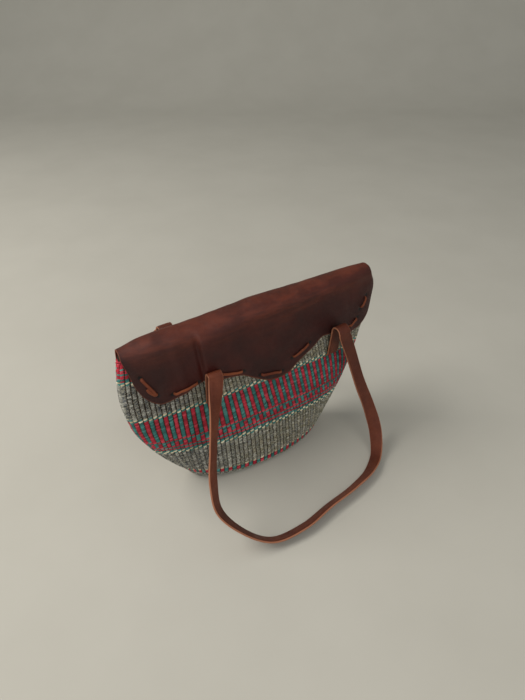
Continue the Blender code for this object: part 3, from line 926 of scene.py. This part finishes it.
    def ground(self) -> bpy.types.Object:
        """The shell behind the stitches: down the outside, in under the base, and up the inside.

        Returns:
            The closed shell.
        """
        form, skin = self.form, self.ground_depth
        wall_rows, base_rows, lining_rows = self.shell_rows
        columns = self.shell_columns
        outside = np.maximum(np.linspace(form.rim_height, 0.0, wall_rows), skin)
        inside = np.linspace(form.wall, form.rim_height, lining_rows)
        closing = np.linspace(0.0, 1.0, base_rows + 1)[1:]
        foot = skin + closing * form.belly_depth
        floor = (form.wall + closing * form.belly_depth)[::-1]
        flat = np.repeat([skin, form.wall], base_rows)
        height = np.concatenate([outside, flat, inside])
        inset = np.concatenate([np.full(wall_rows, skin), foot, floor, np.full(lining_rows, form.wall)])
        turn = np.linspace(0.0, 2.0 * math.pi, columns, endpoint=False)
        points = form.ring(height[:, None], turn[None], inset[:, None])
        lined = np.arange(len(points) + 1) >= wall_rows + base_rows
        crown = points[-1:] * 0.5 + points[:1] * 0.5
        crown[..., 2] = form.rim_height + 0.0006
        points = np.concatenate([points, crown])
        rows = len(points)
        quads = grid_faces(rows, columns, wrap=True)
        first = np.arange(columns)
        last = (rows - 1) * columns + first
        seam = np.stack([last, np.roll(last, -1), np.roll(first, -1), first], axis=1)
        marks = {"inside": np.repeat(lined.astype(float), columns)}
        piece = mesh_piece("basket_wall", points.reshape(-1, 3), [np.concatenate([quads, seam])], marks)
        self.map_weave(piece, rows)
        piece.data.materials.append(GroundFinish().make())
        return piece

    def map_weave(self, piece: bpy.types.Object, rows: int) -> None:
        """Give the shell a map in ribs and rows, read from each corner's height and angle."""
        mesh = piece.data
        points = np.empty(len(mesh.vertices) * 3)
        mesh.vertices.foreach_get("co", points)
        points = points.reshape(-1, 3)
        corner = np.empty(len(mesh.loops), dtype=np.int32)
        mesh.loops.foreach_get("vertex_index", corner)
        turn = np.arctan2(points[:, 1] / self.form.belly_depth, points[:, 0] / self.form.half_length)
        weave = np.stack([turn / (2.0 * math.pi) * self.ribs, points[:, 2] / self.row_pitch], axis=1)
        layer = mesh.uv_layers.new(name="weave")
        layer.data.foreach_set("uv", weave[corner].ravel().astype(np.float32))

    def rim_cord(self, finish: YarnFinish) -> bpy.types.Object:
        """The rim's twisted edge: plump stitches slanted over the top, one for each rib.

        Args:
            finish: the yarn's look.

        Returns:
            The piece.
        """
        form = self.form
        share = (np.arange(self.ribs) + 0.5) / self.ribs
        points, along, up, out = self.surface(np.array([0.0]), share[None])
        points, along, out, up = points[0], along[0], out[0], up[0]
        lift = self.row_pitch * 0.5 + self.rim_lift
        centre = points - out * (form.wall * self.rim_inset) + up * lift
        gap = np.linalg.norm(np.roll(points, 1, axis=0) - points, axis=1)
        dice = np.random.default_rng(11)
        count = self.ribs
        half = np.clip(gap * 0.7, 0.0, 0.0042)
        wide, lean = np.full(count, self.rim_half_width), np.full(count, self.rim_slant)
        proud, tone = dice.normal(0.0004, 0.0003, count), dice.random(count)
        parts = [centre, along, -out, up, half, wide, lean, proud, tone]
        piece = self.lay_yarn(Yarn.RED, parts, finish)
        piece.name = "rim_cord"
        piece.data.name = "rim_cord"
        return piece

    def build(self) -> list:
        """Make the ground, the rim and one piece for each yarn, and dress them.

        Returns:
            All the basket's pieces.
        """
        ground = self.ground()
        self.pieces.append(ground)
        for yarn, parts in self.stitches().items():
            self.pieces.append(self.lay_yarn(yarn, parts, YARNS[yarn]))
        self.pieces.append(self.rim_cord(YARNS[Yarn.RED]))
        for piece in self.pieces:
            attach(piece, "root")
        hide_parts("basket")
        return self.pieces


# The leather


@dataclass
class Flap:
    """The leather flap: one hide from the back, over the mouth, down to a three-lobed edge."""

    form: BasketForm
    half_length: float = 0.193
    ridge: float = 0.280
    drop: float = 0.127
    back_drop: float = 0.088
    thickness: float = 0.0022
    front_gap: float = 0.0030
    back_gap: float = 0.0010
    end_gap: float = 0.012
    arch: float = 0.016
    arch_power: float = 2.6
    crease_place: float = -0.522
    crease_step: float = 0.0050
    edge_bulge: float = 0.0005
    cut_width: float = 1.6
    rub_and_light_rows: float = 30.0
    unevenness: float = 0.00035
    hole_dip: float = 0.0012
    columns: int = 300
    front_rows: int = 96
    back_rows: int = 48
    ridge_line: tuple = (
        (-1.00, 0.140), (-0.78, 0.099), (-0.50, 0.097), (-0.20, 0.073), (0.00, 0.053),
        (0.40, 0.060), (0.85, 0.041), (0.95, 0.042), (1.00, 0.178),
    )
    front_edge: tuple = (
        (-1.00, 0.20), (-0.975, 0.35), (-0.95, 0.52), (-0.915, 0.64), (-0.865, 0.73), (-0.80, 0.785),
        (-0.72, 0.775), (-0.62, 0.74), (-0.50, 0.69), (-0.37, 0.715), (-0.22, 0.765), (-0.12, 0.86),
        (0.00, 0.97), (0.08, 1.00), (0.18, 0.98), (0.25, 0.90), (0.31, 0.845), (0.40, 0.77),
        (0.50, 0.675), (0.57, 0.685), (0.76, 0.78), (0.83, 0.77), (0.90, 0.72), (0.95, 0.63),
        (0.975, 0.48), (1.00, 0.32),
    )
    # Front stitches: both ends as shares of half length and drop, then the hidden run's rise
    stitches: tuple = (
        (-0.907, 0.43, -0.829, 0.65, 0.00),
        (-0.715, 0.71, -0.549, 0.675, 0.05),
        (-0.373, 0.655, -0.218, 0.715, 0.02),
        (-0.062, 0.855, 0.109, 0.92, 0.02),
        (0.223, 0.80, 0.358, 0.705, 0.14),
        (0.756, 0.69, 0.829, 0.63, 0.00),
        (0.865, 0.50, 0.910, 0.39, 0.00),
    )

    def ridge_height(self, place: Array) -> Array:
        """Height of the ridge at shares of the half length."""
        return self.ridge - self.drop * table_curve(self.ridge_line, place)

    def middle(self, place: Array, height: Array, facing: float) -> Array:
        """The middle of the leather: half depth plus the gap, rounded over at the ridge.

        Args:
            place: shares of the half length.
            height: heights.
            facing: -1 for the front and 1 for the back.

        Returns:
            The points.
        """
        place, height = np.broadcast_arrays(np.asarray(place, float), np.asarray(height, float))
        x = place * self.half_length
        ridge = self.ridge_height(place)
        gap = self.front_gap if facing < 0 else self.back_gap
        off = gap + self.thickness / 2.0
        deep = self.form.half_depth(x, np.minimum(height, self.form.rim_height), self.end_gap, off)
        deep = np.maximum(deep, self.thickness * 2.0)
        if facing < 0:
            deep = deep + self.relief(place, height)
        rise = np.clip((height - ridge + self.arch) / self.arch, 0.0, 1.0)
        arch = (1.0 - rise**self.arch_power) ** (1.0 / self.arch_power)
        return np.stack([x, facing * deep * arch, height + np.zeros_like(x)], axis=-1)

    def relief(self, place: Array, height: Array) -> Array:
        """Creases and waves of the front: a step over the left strap, and shallow hollows."""
        down = np.clip((self.ridge - height) / self.drop, 0.0, 1.0)
        line = self.crease_place + 0.055 * down
        step = smoothstep(-0.006, 0.016, place - line) * np.clip(1.0 - (place - line) / 0.55, 0.0, 1.0)
        groove = -0.0016 * np.exp(-(((place - line + 0.016) / 0.016) ** 2))
        fall = smoothstep(0.08, 0.26, down)
        left = 0.0013 * np.sin((place + 1.0) * 9.0) * smoothstep(-0.50, -0.75, place)
        second = 0.0012 * np.exp(-(((place + 0.70 - 0.10 * down) / 0.030) ** 2))
        right = -0.0018 * np.exp(-(((place - 0.74 - 0.10 * down) / 0.05) ** 2)) * fall
        belly = 0.0009 * np.sin(place * 7.5 + down * 3.0) * smoothstep(-0.5, -0.2, place)
        return (self.crease_step * step + groove + left + second + belly) * fall + right

    def frame_at(self, place: Array, height: Array, facing: float) -> tuple[Array, Array, Array, Array]:
        """Points on the leather with unit directions along the ridge, up, and outwards."""
        nudge = 2e-4
        point = self.middle(place, height, facing)
        along = unit(self.middle(place + nudge, height, facing) - self.middle(place - nudge, height, facing))
        up = unit(self.middle(place, height + nudge, facing) - self.middle(place, height - nudge, facing))
        out = unit(np.cross(along, up) * -facing)
        return point, along, up, out

    def hole_marks(self, points: Array) -> Array:
        """How far each point is into a slot of the front lacing: exp(-(distance / size)^2).

        Args:
            points: places on the leather.

        Returns:
            From 0 away from the slots to 1 in them; each slot is long along its stitch.
        """
        near = np.zeros(points.shape[:-1])
        for left, left_drop, right, right_drop, _ in self.stitches:
            ends = [self.middle(place, self.ridge - self.drop * down, -1.0)
                    for place, down in ((left, left_drop), (right, right_drop))]
            way = unit(ends[1] - ends[0])
            for spot, side in ((ends[0], -1.0), (ends[1], 1.0)):
                apart = points - (spot + way * side * 0.0024)
                along = apart @ way
                aside = np.sqrt(np.maximum(np.sum(apart * apart, axis=-1) - along**2, 0.0))
                near = np.maximum(near, np.exp(-((along / 0.0040) ** 2 + (aside / 0.0032) ** 2)))
        return near

    def build(self) -> bpy.types.Object:
        """Make the flap: a grid over its two faces, joined all round by a rounded edge.

        Returns:
            The flap.
        """
        place = np.sin(np.linspace(-0.5, 0.5, self.columns) * math.pi * 0.86) / math.sin(0.43 * math.pi)
        ridge = self.ridge_height(place)
        edge = self.ridge - self.drop * table_curve(self.front_edge, place)
        hem = np.full_like(place, self.ridge - self.back_drop)
        front = np.linspace(0.0, 1.0, self.front_rows)
        front = 0.65 * front + 0.35 * np.sin(front * math.pi / 2.0)
        back = np.sin(np.linspace(0.5, 0.0, self.back_rows) * math.pi)[1:]
        heights_front = edge[:, None] + (ridge - edge)[:, None] * front[None]
        heights_back = hem[:, None] + (ridge - hem)[:, None] * back[None]
        sheet = np.concatenate([
            self.middle(place[:, None], heights_front, -1.0),
            self.middle(place[:, None], heights_back, 1.0),
        ], axis=1)
        across = unit(np.gradient(sheet, axis=0))
        along = unit(np.gradient(sheet, axis=1))
        out = unit(np.cross(across, along))
        # near drives the dip and also the painted shade over the uncut lacing slots.
        near = self.hole_marks(sheet)
        rise = lumps(sheet, 26.0, 3) * self.unevenness - near * self.hole_dip
        sheet = sheet + out * rise[..., None]
        return self.thicken(sheet, out, near)

    def thicken(self, sheet: Array, out: Array, near: Array) -> bpy.types.Object:
        """Give the sheet its two faces and its cut edge.

        Args:
            sheet: the middle surface, columns by rows.
            out: its outward directions.
            near: nearness to the lacing holes.

        Returns:
            The flap as one closed piece.
        """
        columns, rows = sheet.shape[:2]
        half = self.thickness / 2.0
        top = sheet + out * half
        under = sheet - out * half
        count = columns * rows
        quads = grid_faces(columns, rows, wrap=False)
        lower = quads[:, ::-1] + count
        index = np.arange(count).reshape(columns, rows)
        loop = np.concatenate([index[0, :], index[1:, -1], index[-1, -2::-1], index[-2:0:-1, 0]])
        border = sheet.reshape(-1, 3)[loop]
        outwards = unit(np.cross(unit(border - np.roll(border, 1, axis=0)), out.reshape(-1, 3)[loop]))
        sign = 1.0 if outwards[rows // 2, 0] <= 0.0 else -1.0
        edge_points = border + outwards * sign * self.edge_bulge
        middle = 2 * count + np.arange(len(loop))
        after = np.roll(np.arange(len(loop)), -1)
        first = np.stack([loop, loop[after], middle[after], middle], axis=1)
        second = np.stack([middle, middle[after], loop[after] + count, loop + count], axis=1)
        points = np.concatenate([top.reshape(-1, 3), under.reshape(-1, 3), edge_points])
        row, column = np.arange(rows)[None], np.arange(columns)[:, None]
        rim = np.minimum(np.minimum(row, rows - 1 - row), np.minimum(column, columns - 1 - column))
        cut = np.clip(1.0 - rim / self.cut_width, 0.0, 1.0) * 0.7
        # Strongest along the ridge on the outer face: partly real rubbing, partly painted highlight of the
        # lit ridge.
        from_ridge = (self.front_rows - 1 - row) / self.rub_and_light_rows
        rub_and_ridge_light = np.repeat(np.exp(-(from_ridge**2)), columns, axis=0)
        marks = {
            "edge": np.concatenate([cut.ravel(), cut.ravel(), np.ones(len(loop))]),
            "rub_and_ridge_light": np.concatenate([rub_and_ridge_light.ravel(), rub_and_ridge_light.ravel() * 0.0, np.zeros(len(loop))]),
            "hole_shade": np.concatenate([near.ravel(), near.ravel(), np.zeros(len(loop))]),
        }
        faces = np.concatenate([quads, lower, first[:, ::-1], second[:, ::-1]])
        piece = mesh_piece("leather_flap", points, [faces], marks)
        finish = HideFinish("flap_hide", colour(0.16, 0.045, 0.030), colour(0.27, 0.085, 0.052),
                            colour(0.38, 0.170, 0.105), colour(0.52, 0.29, 0.20), rough=0.50, coat=0.06)
        piece.data.materials.append(finish.make())
        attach(piece, "root")
        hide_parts("flap")
        return piece


@dataclass
class Lacing:
    """Leather thong run in and out along the flap's edges."""

    flap: Flap
    width: float = 0.0040
    thickness: float = 0.0021
    gap: float = 0.0002
    crossing: float = 0.0022
    crossing_steps: tuple = ((-1.0, 0.0), (-0.5, 0.06), (-0.25, 0.27), (0.25, 0.73), (0.5, 0.94), (1.0, 1.0))
    back_count: int = 6
    back_fill: float = 0.60
    back_reach: float = 0.86
    back_inset: float = 0.010
    step: float = 0.0006

    def behind_flap(self, place: float, height: float) -> float:
        """Level of a thong close behind the leather."""
        return -self.flap.thickness / 2.0 - self.gap - self.thickness / 2.0

    def behind_wall(self, place: float, height: float) -> float:
        """Level of a thong inside the basket's back wall."""
        point = self.flap.middle(place, height, 1.0)
        form = self.flap.form
        inside = float(form.half_depth(point[0], height) - point[1]) - form.wall
        return inside - self.gap - self.thickness / 2.0

    def route(self, holes: list, facing: float, inner: Callable[[float, float], float],
              rises: list) -> tuple[Array, Array]:
        """The thong's way in and out of a row of holes.

        Args:
            holes: places along the flap and heights.
            facing: -1 for the front and 1 for the back.
            inner: a function that gives the hidden run's level.
            rises: how far each run rises above its straight line.

        Returns:
            Points and the thong's crosswise directions.
        """
        flap = self.flap
        outer = flap.thickness / 2.0 + self.gap + self.thickness / 2.0
        points, across = [], []
        for index, (place, height) in enumerate(holes):
            going_in = index % 2 == 1
            before, after = holes[max(index - 1, 0)], holes[min(index + 1, len(holes) - 1)]
            point, along, up, out = flap.frame_at(place, height, facing)
            heading = np.zeros(3)
            for start, end in ((before, (place, height)), ((place, height), after)):
                way = along * (end[0] - start[0]) * flap.half_length + up * (end[1] - start[1])
                heading = heading + way / max(np.linalg.norm(way), 1e-9)
            heading = unit(heading)
            level = inner(place, height)
            start, end = (outer, level) if going_in else (level, outer)
            for travel, share in self.crossing_steps:
                offset = out * (start + (end - start) * share)
                points.append(point + heading * travel * self.crossing + offset)
                across.append(np.cross(out, heading))
            if index < len(holes) - 1:
                for share in (0.25, 0.5, 0.75):
                    mid_place = place + (after[0] - place) * share
                    mid_height = height + (after[1] - height) * share
                    mid_height += rises[index] * math.sin(share * math.pi)
                    point, _, _, out = flap.frame_at(mid_place, mid_height, facing)
                    offset = inner(mid_place, mid_height) if going_in else outer + 0.0006
                    points.append(point + out * offset)
                    across.append(np.cross(out, heading))
        return np.array(points), np.array(across)

    def thong(self, name: str, points: Array, across: Array) -> bpy.types.Object:
        """Lay a rounded thong along a route and dress it.

        Args:
            name: the piece's name.
            points: the route.
            across: its crosswise directions.

        Returns:
            The thong.
        """
        rows = even_steps(eased(np.concatenate([points, across], axis=1), 6), self.step)
        outline, edge = rounded_outline(self.width, self.thickness, 2.4, 16)
        place = np.arange(len(rows)) * self.step
        wobble = 1.0 + 0.05 * np.sin(place * 410.0) + 0.04 * np.sin(place * 170.0 + 1.0)
        scale = np.stack([wobble, np.ones(len(rows))], axis=1)
        piece = band_piece(name, rows[:, :3], rows[:, 3:], outline, scale, edge)
        finish = HideFinish(name + "_hide", colour(0.38, 0.17, 0.09), colour(0.58, 0.31, 0.18),
                            colour(0.68, 0.42, 0.27), colour(0.36, 0.17, 0.10), rough=0.6, grain=0.7)
        piece.data.materials.append(finish.make())
        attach(piece, "root")
        return piece

    def build(self) -> list:
        """Make the front lacing, its short loose end and the back lacing.

        Returns:
            The thongs.
        """
        flap = self.flap
        holes, rises = [], []
        for left, left_drop, right, right_drop, rise in flap.stitches:
            holes.append((left, flap.ridge - flap.drop * left_drop))
            holes.append((right, flap.ridge - flap.drop * right_drop))
            rises += [0.0, rise * flap.drop]
        front = self.thong("front_thong", *self.route(holes, -1.0, self.behind_flap, rises))
        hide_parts("edge_lacing")
        height = flap.ridge - flap.back_drop + self.back_inset
        pitch = 2.0 * self.back_reach / self.back_count
        holes = []
        for index in range(self.back_count):
            middle = -self.back_reach + pitch * (index + 0.5)
            half = pitch * self.back_fill / 2.0
            holes += [(middle - half, height), (middle + half, height)]
        back = self.thong("back_thong", *self.route(holes, 1.0, self.behind_wall, [0.0] * len(holes)))
        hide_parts("back_lacing")
        return [front, back, self.loose_end()]

    def loose_end(self) -> bpy.types.Object:
        """The thong's short end, tucked out beside the first stitch."""
        flap = self.flap
        left, left_drop, right, right_drop, _ = flap.stitches[0]
        low = flap.thickness / 2.0 + self.gap + self.thickness / 2.0
        rows, across = [], []
        for share, level, aside in ((0.52, -0.0006, -0.018), (0.64, 0.0006, -0.020), (0.82, 0.0006, -0.016),
                                    (0.96, 0.0000, -0.010), (1.04, -0.0022, -0.004)):
            place = left + (right - left) * share + aside
            height = flap.ridge - flap.drop * (left_drop + (right_drop - left_drop) * share - aside * 0.4)
            point, along, up, out = flap.frame_at(place, height, -1.0)
            rows.append(point + out * (low + level))
            way = along * (right - left) * flap.half_length - up * (right_drop - left_drop) * flap.drop
            across.append(np.cross(out, unit(way)))
        return self.thong("loose_thong_end", np.array(rows), np.array(across))


@dataclass
class Strap:
    """A flat leather strap through two slots, folded over and lying on the floor in a loop."""

    form: BasketForm
    name: str
    node: str
    facing: float
    centre: float
    fold_left: float
    fold_right: float
    fold_out: float
    loop_reach: float
    width: float = 0.020
    thickness: float = 0.003
    half_spread: float = 0.101
    gap: float = 0.0005
    fold_radius: float = 0.0088
    left_radius: float = 0.0088
    bend: float = 0.0035
    slot_height: float = 0.154
    tail: float = 0.032
    head_length: float = 0.014
    head_width: float = 0.029
    floor_gap: float = 0.0003
    step: float = 0.0022
    # Columns: side, out, up as shares, then turn and lift of the outer edge in degrees
    loop: tuple = (
        (1.13, 0.10, 0.78, -6.0, 0.0), (1.24, 0.21, 0.55, -6.0, 0.0), (1.35, 0.34, 0.34, 5.0, 5.0),
        (1.38, 0.48, 0.16, 45.0, 20.0), (1.25, 0.64, 0.04, 75.0, 30.0), (1.00, 0.77, 0.00, 85.0, 37.0),
        (0.58, 0.87, 0.00, 90.0, 44.0), (0.07, 0.93, 0.00, 92.0, 44.0), (-0.45, 1.00, 0.00, 97.0, 38.0),
        (-0.90, 0.97, 0.04, 106.0, 37.0), (-1.26, 0.83, 0.155, 120.0, 36.0), (-1.46, 0.64, 0.29, 134.0, 30.0),
        (-1.43, 0.50, 0.45, 144.0, 21.0), (-1.30, 0.34, 0.64, 142.0, 14.0), (-1.16, 0.20, 0.84, 152.0, 5.0),
    )

    def leg(self, x: float, fold_top: float, radius: float) -> Array:
        """One leg from its tail inside the basket to the far side of its fold.

        Args:
            x: the leg's place along the mouth.
            fold_top: the fold's height.
            radius: the fold's radius.

        Returns:
            Points of its middle line.
        """
        wall = float(self.form.half_depth(x, self.slot_height))
        outside = wall + self.gap + self.thickness / 2.0
        inside = wall - self.form.wall - self.gap - self.thickness / 2.0
        tail = np.linspace(1.0, 0.1, 6) * self.tail
        quarter = np.linspace(0.0, math.pi / 2.0, 6)
        half = np.linspace(0.0, math.pi, 16)
        low = self.slot_height
        inner = np.stack([np.full(6, inside), low - self.bend - tail], axis=1)
        near, far = self.bend * (1.0 - np.cos(quarter)), self.bend * (1.0 - np.sin(quarter))
        through = np.stack([inside + near, low - far], axis=1)
        upward = np.stack([outside - far, low + near], axis=1)
        middle = self.fold_out - self.fold_radius + radius
        over = np.stack([middle - radius * np.cos(half), fold_top - radius * (1.0 - np.sin(half))], axis=1)
        rise = upward[-1] + (over[0] - upward[-1]) * np.array([[0.35], [0.7]])
        rows = np.concatenate([inner, through, upward, rise, over])
        return np.stack([np.full(len(rows), x), self.facing * rows[:, 0], rows[:, 1]], axis=1)

    def edge_way(self, turn: Array, lift: Array) -> Array:
        """Direction of the outer edge for turns and lifts in radians."""
        flat = np.cos(lift)
        upward = np.sin(lift) + 0.0 * turn
        return np.stack([np.cos(turn) * flat, self.facing * np.sin(turn) * flat, upward], axis=-1)

    def wall_turn(self, x: float) -> float:
        """Turn of the wall at a slot, seen from above."""
        reach = self.width / 2.0
        depth = self.form.half_depth(np.array([x - reach, x + reach]), self.slot_height)
        rise = depth[1] - depth[0]
        return math.atan2(float(rise), 2.0 * reach)

    def route(self) -> Array:
        """The strap's middle line and the direction of its outer edge, right tail to left tail.

        Returns:
            Six numbers a row: place, then direction.
        """
        right_x, left_x = self.centre + self.half_spread, self.centre - self.half_spread
        right = self.leg(right_x, self.fold_right, self.fold_radius)
        left = self.leg(left_x, self.fold_left, self.left_radius)
        side, out, up, turn, lift = np.array(self.loop).T
        edge = self.edge_way(np.radians(turn), np.radians(lift))
        lowest = self.width / 2.0 * np.abs(edge[:, 2]) + self.thickness / 2.0 + self.floor_gap
        top = np.where(side > 0.0, self.fold_right, self.fold_left)
        y = self.facing * (self.fold_out + out * (self.loop_reach - self.fold_out))
        loop = np.stack([self.centre + side * self.half_spread, y, np.maximum(up * top, lowest)], axis=1)
        right_way = self.edge_way(np.array(self.wall_turn(right_x)), np.array(0.0))
        left_way = self.edge_way(np.array(math.pi + self.wall_turn(left_x)), np.array(0.0))
        start = np.concatenate([right[-1], right_way])
        end = np.concatenate([left[-1], left_way])
        middle = eased(np.vstack([start, np.concatenate([loop, edge], axis=1), end]), 16)
        right = np.concatenate([right[:-1], np.tile(right_way, (len(right) - 1, 1))], axis=1)
        left = np.concatenate([left[:-1], np.tile(left_way, (len(left) - 1, 1))], axis=1)[::-1]
        return np.concatenate([right, middle, left])

    def outline(self) -> tuple[Array, Array]:
        """The strap's cross-section, with a shallow creased line near each edge of both faces."""
        outline, edge = rounded_outline(self.width, self.thickness, 6.0, 48)
        share = outline[:, 0] / (self.width / 2.0)
        crease = np.exp(-(((np.abs(share) - 0.80) / 0.045) ** 2))
        outline[:, 1] -= np.sign(outline[:, 1]) * crease * 0.00045
        return outline, edge

    def build(self) -> bpy.types.Object:
        """Make the strap and dress it.

        Returns:
            The strap.
        """
        rows = even_steps(self.route(), self.step)
        outline, edge = self.outline()
        length = np.arange(len(rows)) * self.step
        from_end = np.minimum(length, length[::-1])
        wide = np.where(from_end < self.head_length, self.head_width / self.width, 1.0)
        scale = np.stack([wide * (1.0 + 0.012 * np.sin(length * 60.0)), np.ones(len(rows))], axis=1)
        piece = band_piece(self.name, rows[:, :3], rows[:, 3:], outline, scale, edge)
        finish = HideFinish(self.name + "_hide", colour(0.31, 0.14, 0.085), colour(0.47, 0.24, 0.15),
                            colour(0.58, 0.34, 0.23), colour(0.64, 0.42, 0.31), rough=0.58)
        piece.data.materials.append(finish.make())
        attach(piece, "root")
        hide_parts(self.node)
        return piece


# The studio


@dataclass(frozen=True)
class Lamp:
    """A soft square lamp: its place, the point it faces, its side in metres, watts and tint."""

    name: str
    place: tuple
    aim: tuple
    size: float
    power: float
    tint: tuple

    def hang(self) -> None:
        """Hang the lamp in the scene."""
        light = bpy.data.lights.new(self.name, "AREA")
        light.size = self.size
        light.energy = self.power
        light.color = self.tint
        lamp = bpy.data.objects.new(self.name, light)
        lamp.location = self.place
        way = Vector(self.aim) - Vector(self.place)
        lamp.rotation_euler = way.to_track_quat("-Z", "Y").to_euler()
        bpy.context.scene.collection.objects.link(lamp)


@dataclass
class Studio:
    """A plain pale floor and backdrop, soft lights and the camera."""

    camera_place: tuple = (-0.30203, -0.51116, 0.63668)
    camera_pitch: float = 37.0
    camera_turn: float = -31.234
    lens: float = 27.05
    sensor: float = 36.0
    floor_half: float = 6.0
    floor_reach: float = 2.2
    sweep: float = 1.2
    wall_growth: float = 12.0
    sky: tuple = (0.82, 0.87, 0.90, 1.0)
    sky_strength: float = 0.40
    lamps: tuple = (
        Lamp("window", (-1.5, 0.7, 1.9), (0.0, 0.0, 0.12), 1.5, 46.0, (1.0, 0.985, 0.96)),
        Lamp("fill", (-0.6, -2.2, 1.6), (0.0, 0.0, 0.10), 2.0, 22.0, (1.0, 0.99, 0.97)),
    )

    def backdrop(self) -> bpy.types.Object:
        """A floor that sweeps up into a wall behind: height rises as 1 - cos past its bend."""
        place = np.linspace(-1.0, 1.0, 60)
        reach, sweep = self.floor_reach, self.sweep
        run = np.concatenate([np.linspace(-4.0, reach, 40), reach + np.linspace(0.05, 1.5, 30)])
        bend = np.clip((run - reach) / sweep, 0.0, 1.0) * math.pi / 2.0
        wall = np.maximum(run - reach - sweep, 0.0) * self.wall_growth
        y = np.where(run < reach, run, reach + sweep * np.sin(bend))
        z = sweep * (1.0 - np.cos(bend)) + wall
        turn = math.radians(self.camera_turn)
        side = np.array([math.cos(turn), math.sin(turn), 0.0])
        away = np.array([-math.sin(turn), math.cos(turn), 0.0])
        points = place[:, None, None] * self.floor_half * side + y[None, :, None] * away
        points = points + z[None, :, None] * np.array([0.0, 0.0, 1.0])
        quads = grid_faces(len(place), len(run), wrap=False)
        piece = mesh_piece("studio_floor", points.reshape(-1, 3), [quads])
        paint = PlainFinish("studio_paint", colour(0.74, 0.72, 0.67), colour(0.71, 0.69, 0.64))
        piece.data.materials.append(paint.make())
        return piece

    def build(self) -> None:
        """Set the floor, the lamps, the sky and the camera."""
        self.backdrop()
        for lamp in self.lamps:
            lamp.hang()
        world = bpy.data.worlds.new("soft_sky")
        world.use_nodes = True
        inputs = world.node_tree.nodes["Background"].inputs
        inputs["Color"].default_value = self.sky
        inputs["Strength"].default_value = self.sky_strength
        bpy.context.scene.world = world
        bpy.context.scene.view_settings.view_transform = "Standard"
        view = bpy.data.cameras.new("camera")
        view.lens = self.lens
        view.sensor_width = self.sensor
        view.clip_start = 0.02
        camera = bpy.data.objects.new("camera", view)
        camera.location = self.camera_place
        camera.rotation_euler = (math.radians(90.0 - self.camera_pitch), 0.0, math.radians(self.camera_turn))
        bpy.context.scene.collection.objects.link(camera)
        bpy.context.scene.camera = camera


def report(piece: bpy.types.Object) -> None:
    """Say how many faces a piece has."""
    LOG.info("%s: %d faces", piece.name, len(piece.data.polygons))


def main() -> None:
    """Build the bag from its basket outwards, then the studio."""
    logging.basicConfig(level=logging.INFO, format="%(message)s")
    form = BasketForm()
    for piece in Basket(form).build():
        report(piece)
    flap = Flap(form)
    sheet = flap.build()
    report(sheet)
    for piece in Lacing(flap).build():
        report(piece)
    front = Strap(form, "strap_in_front", "front_strap", facing=-1.0, centre=0.0145, fold_left=0.2095,
                  fold_right=0.2115, fold_out=0.040, loop_reach=0.172, left_radius=0.0052)
    back = Strap(form, "strap_behind", "back_strap", facing=1.0, centre=-0.011, fold_left=0.238,
                 fold_right=0.228, fold_out=0.055, loop_reach=0.165)
    for strap in (front, back):
        report(strap.build())
    Studio().build()
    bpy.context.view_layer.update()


if __name__ == "__main__":
    main()
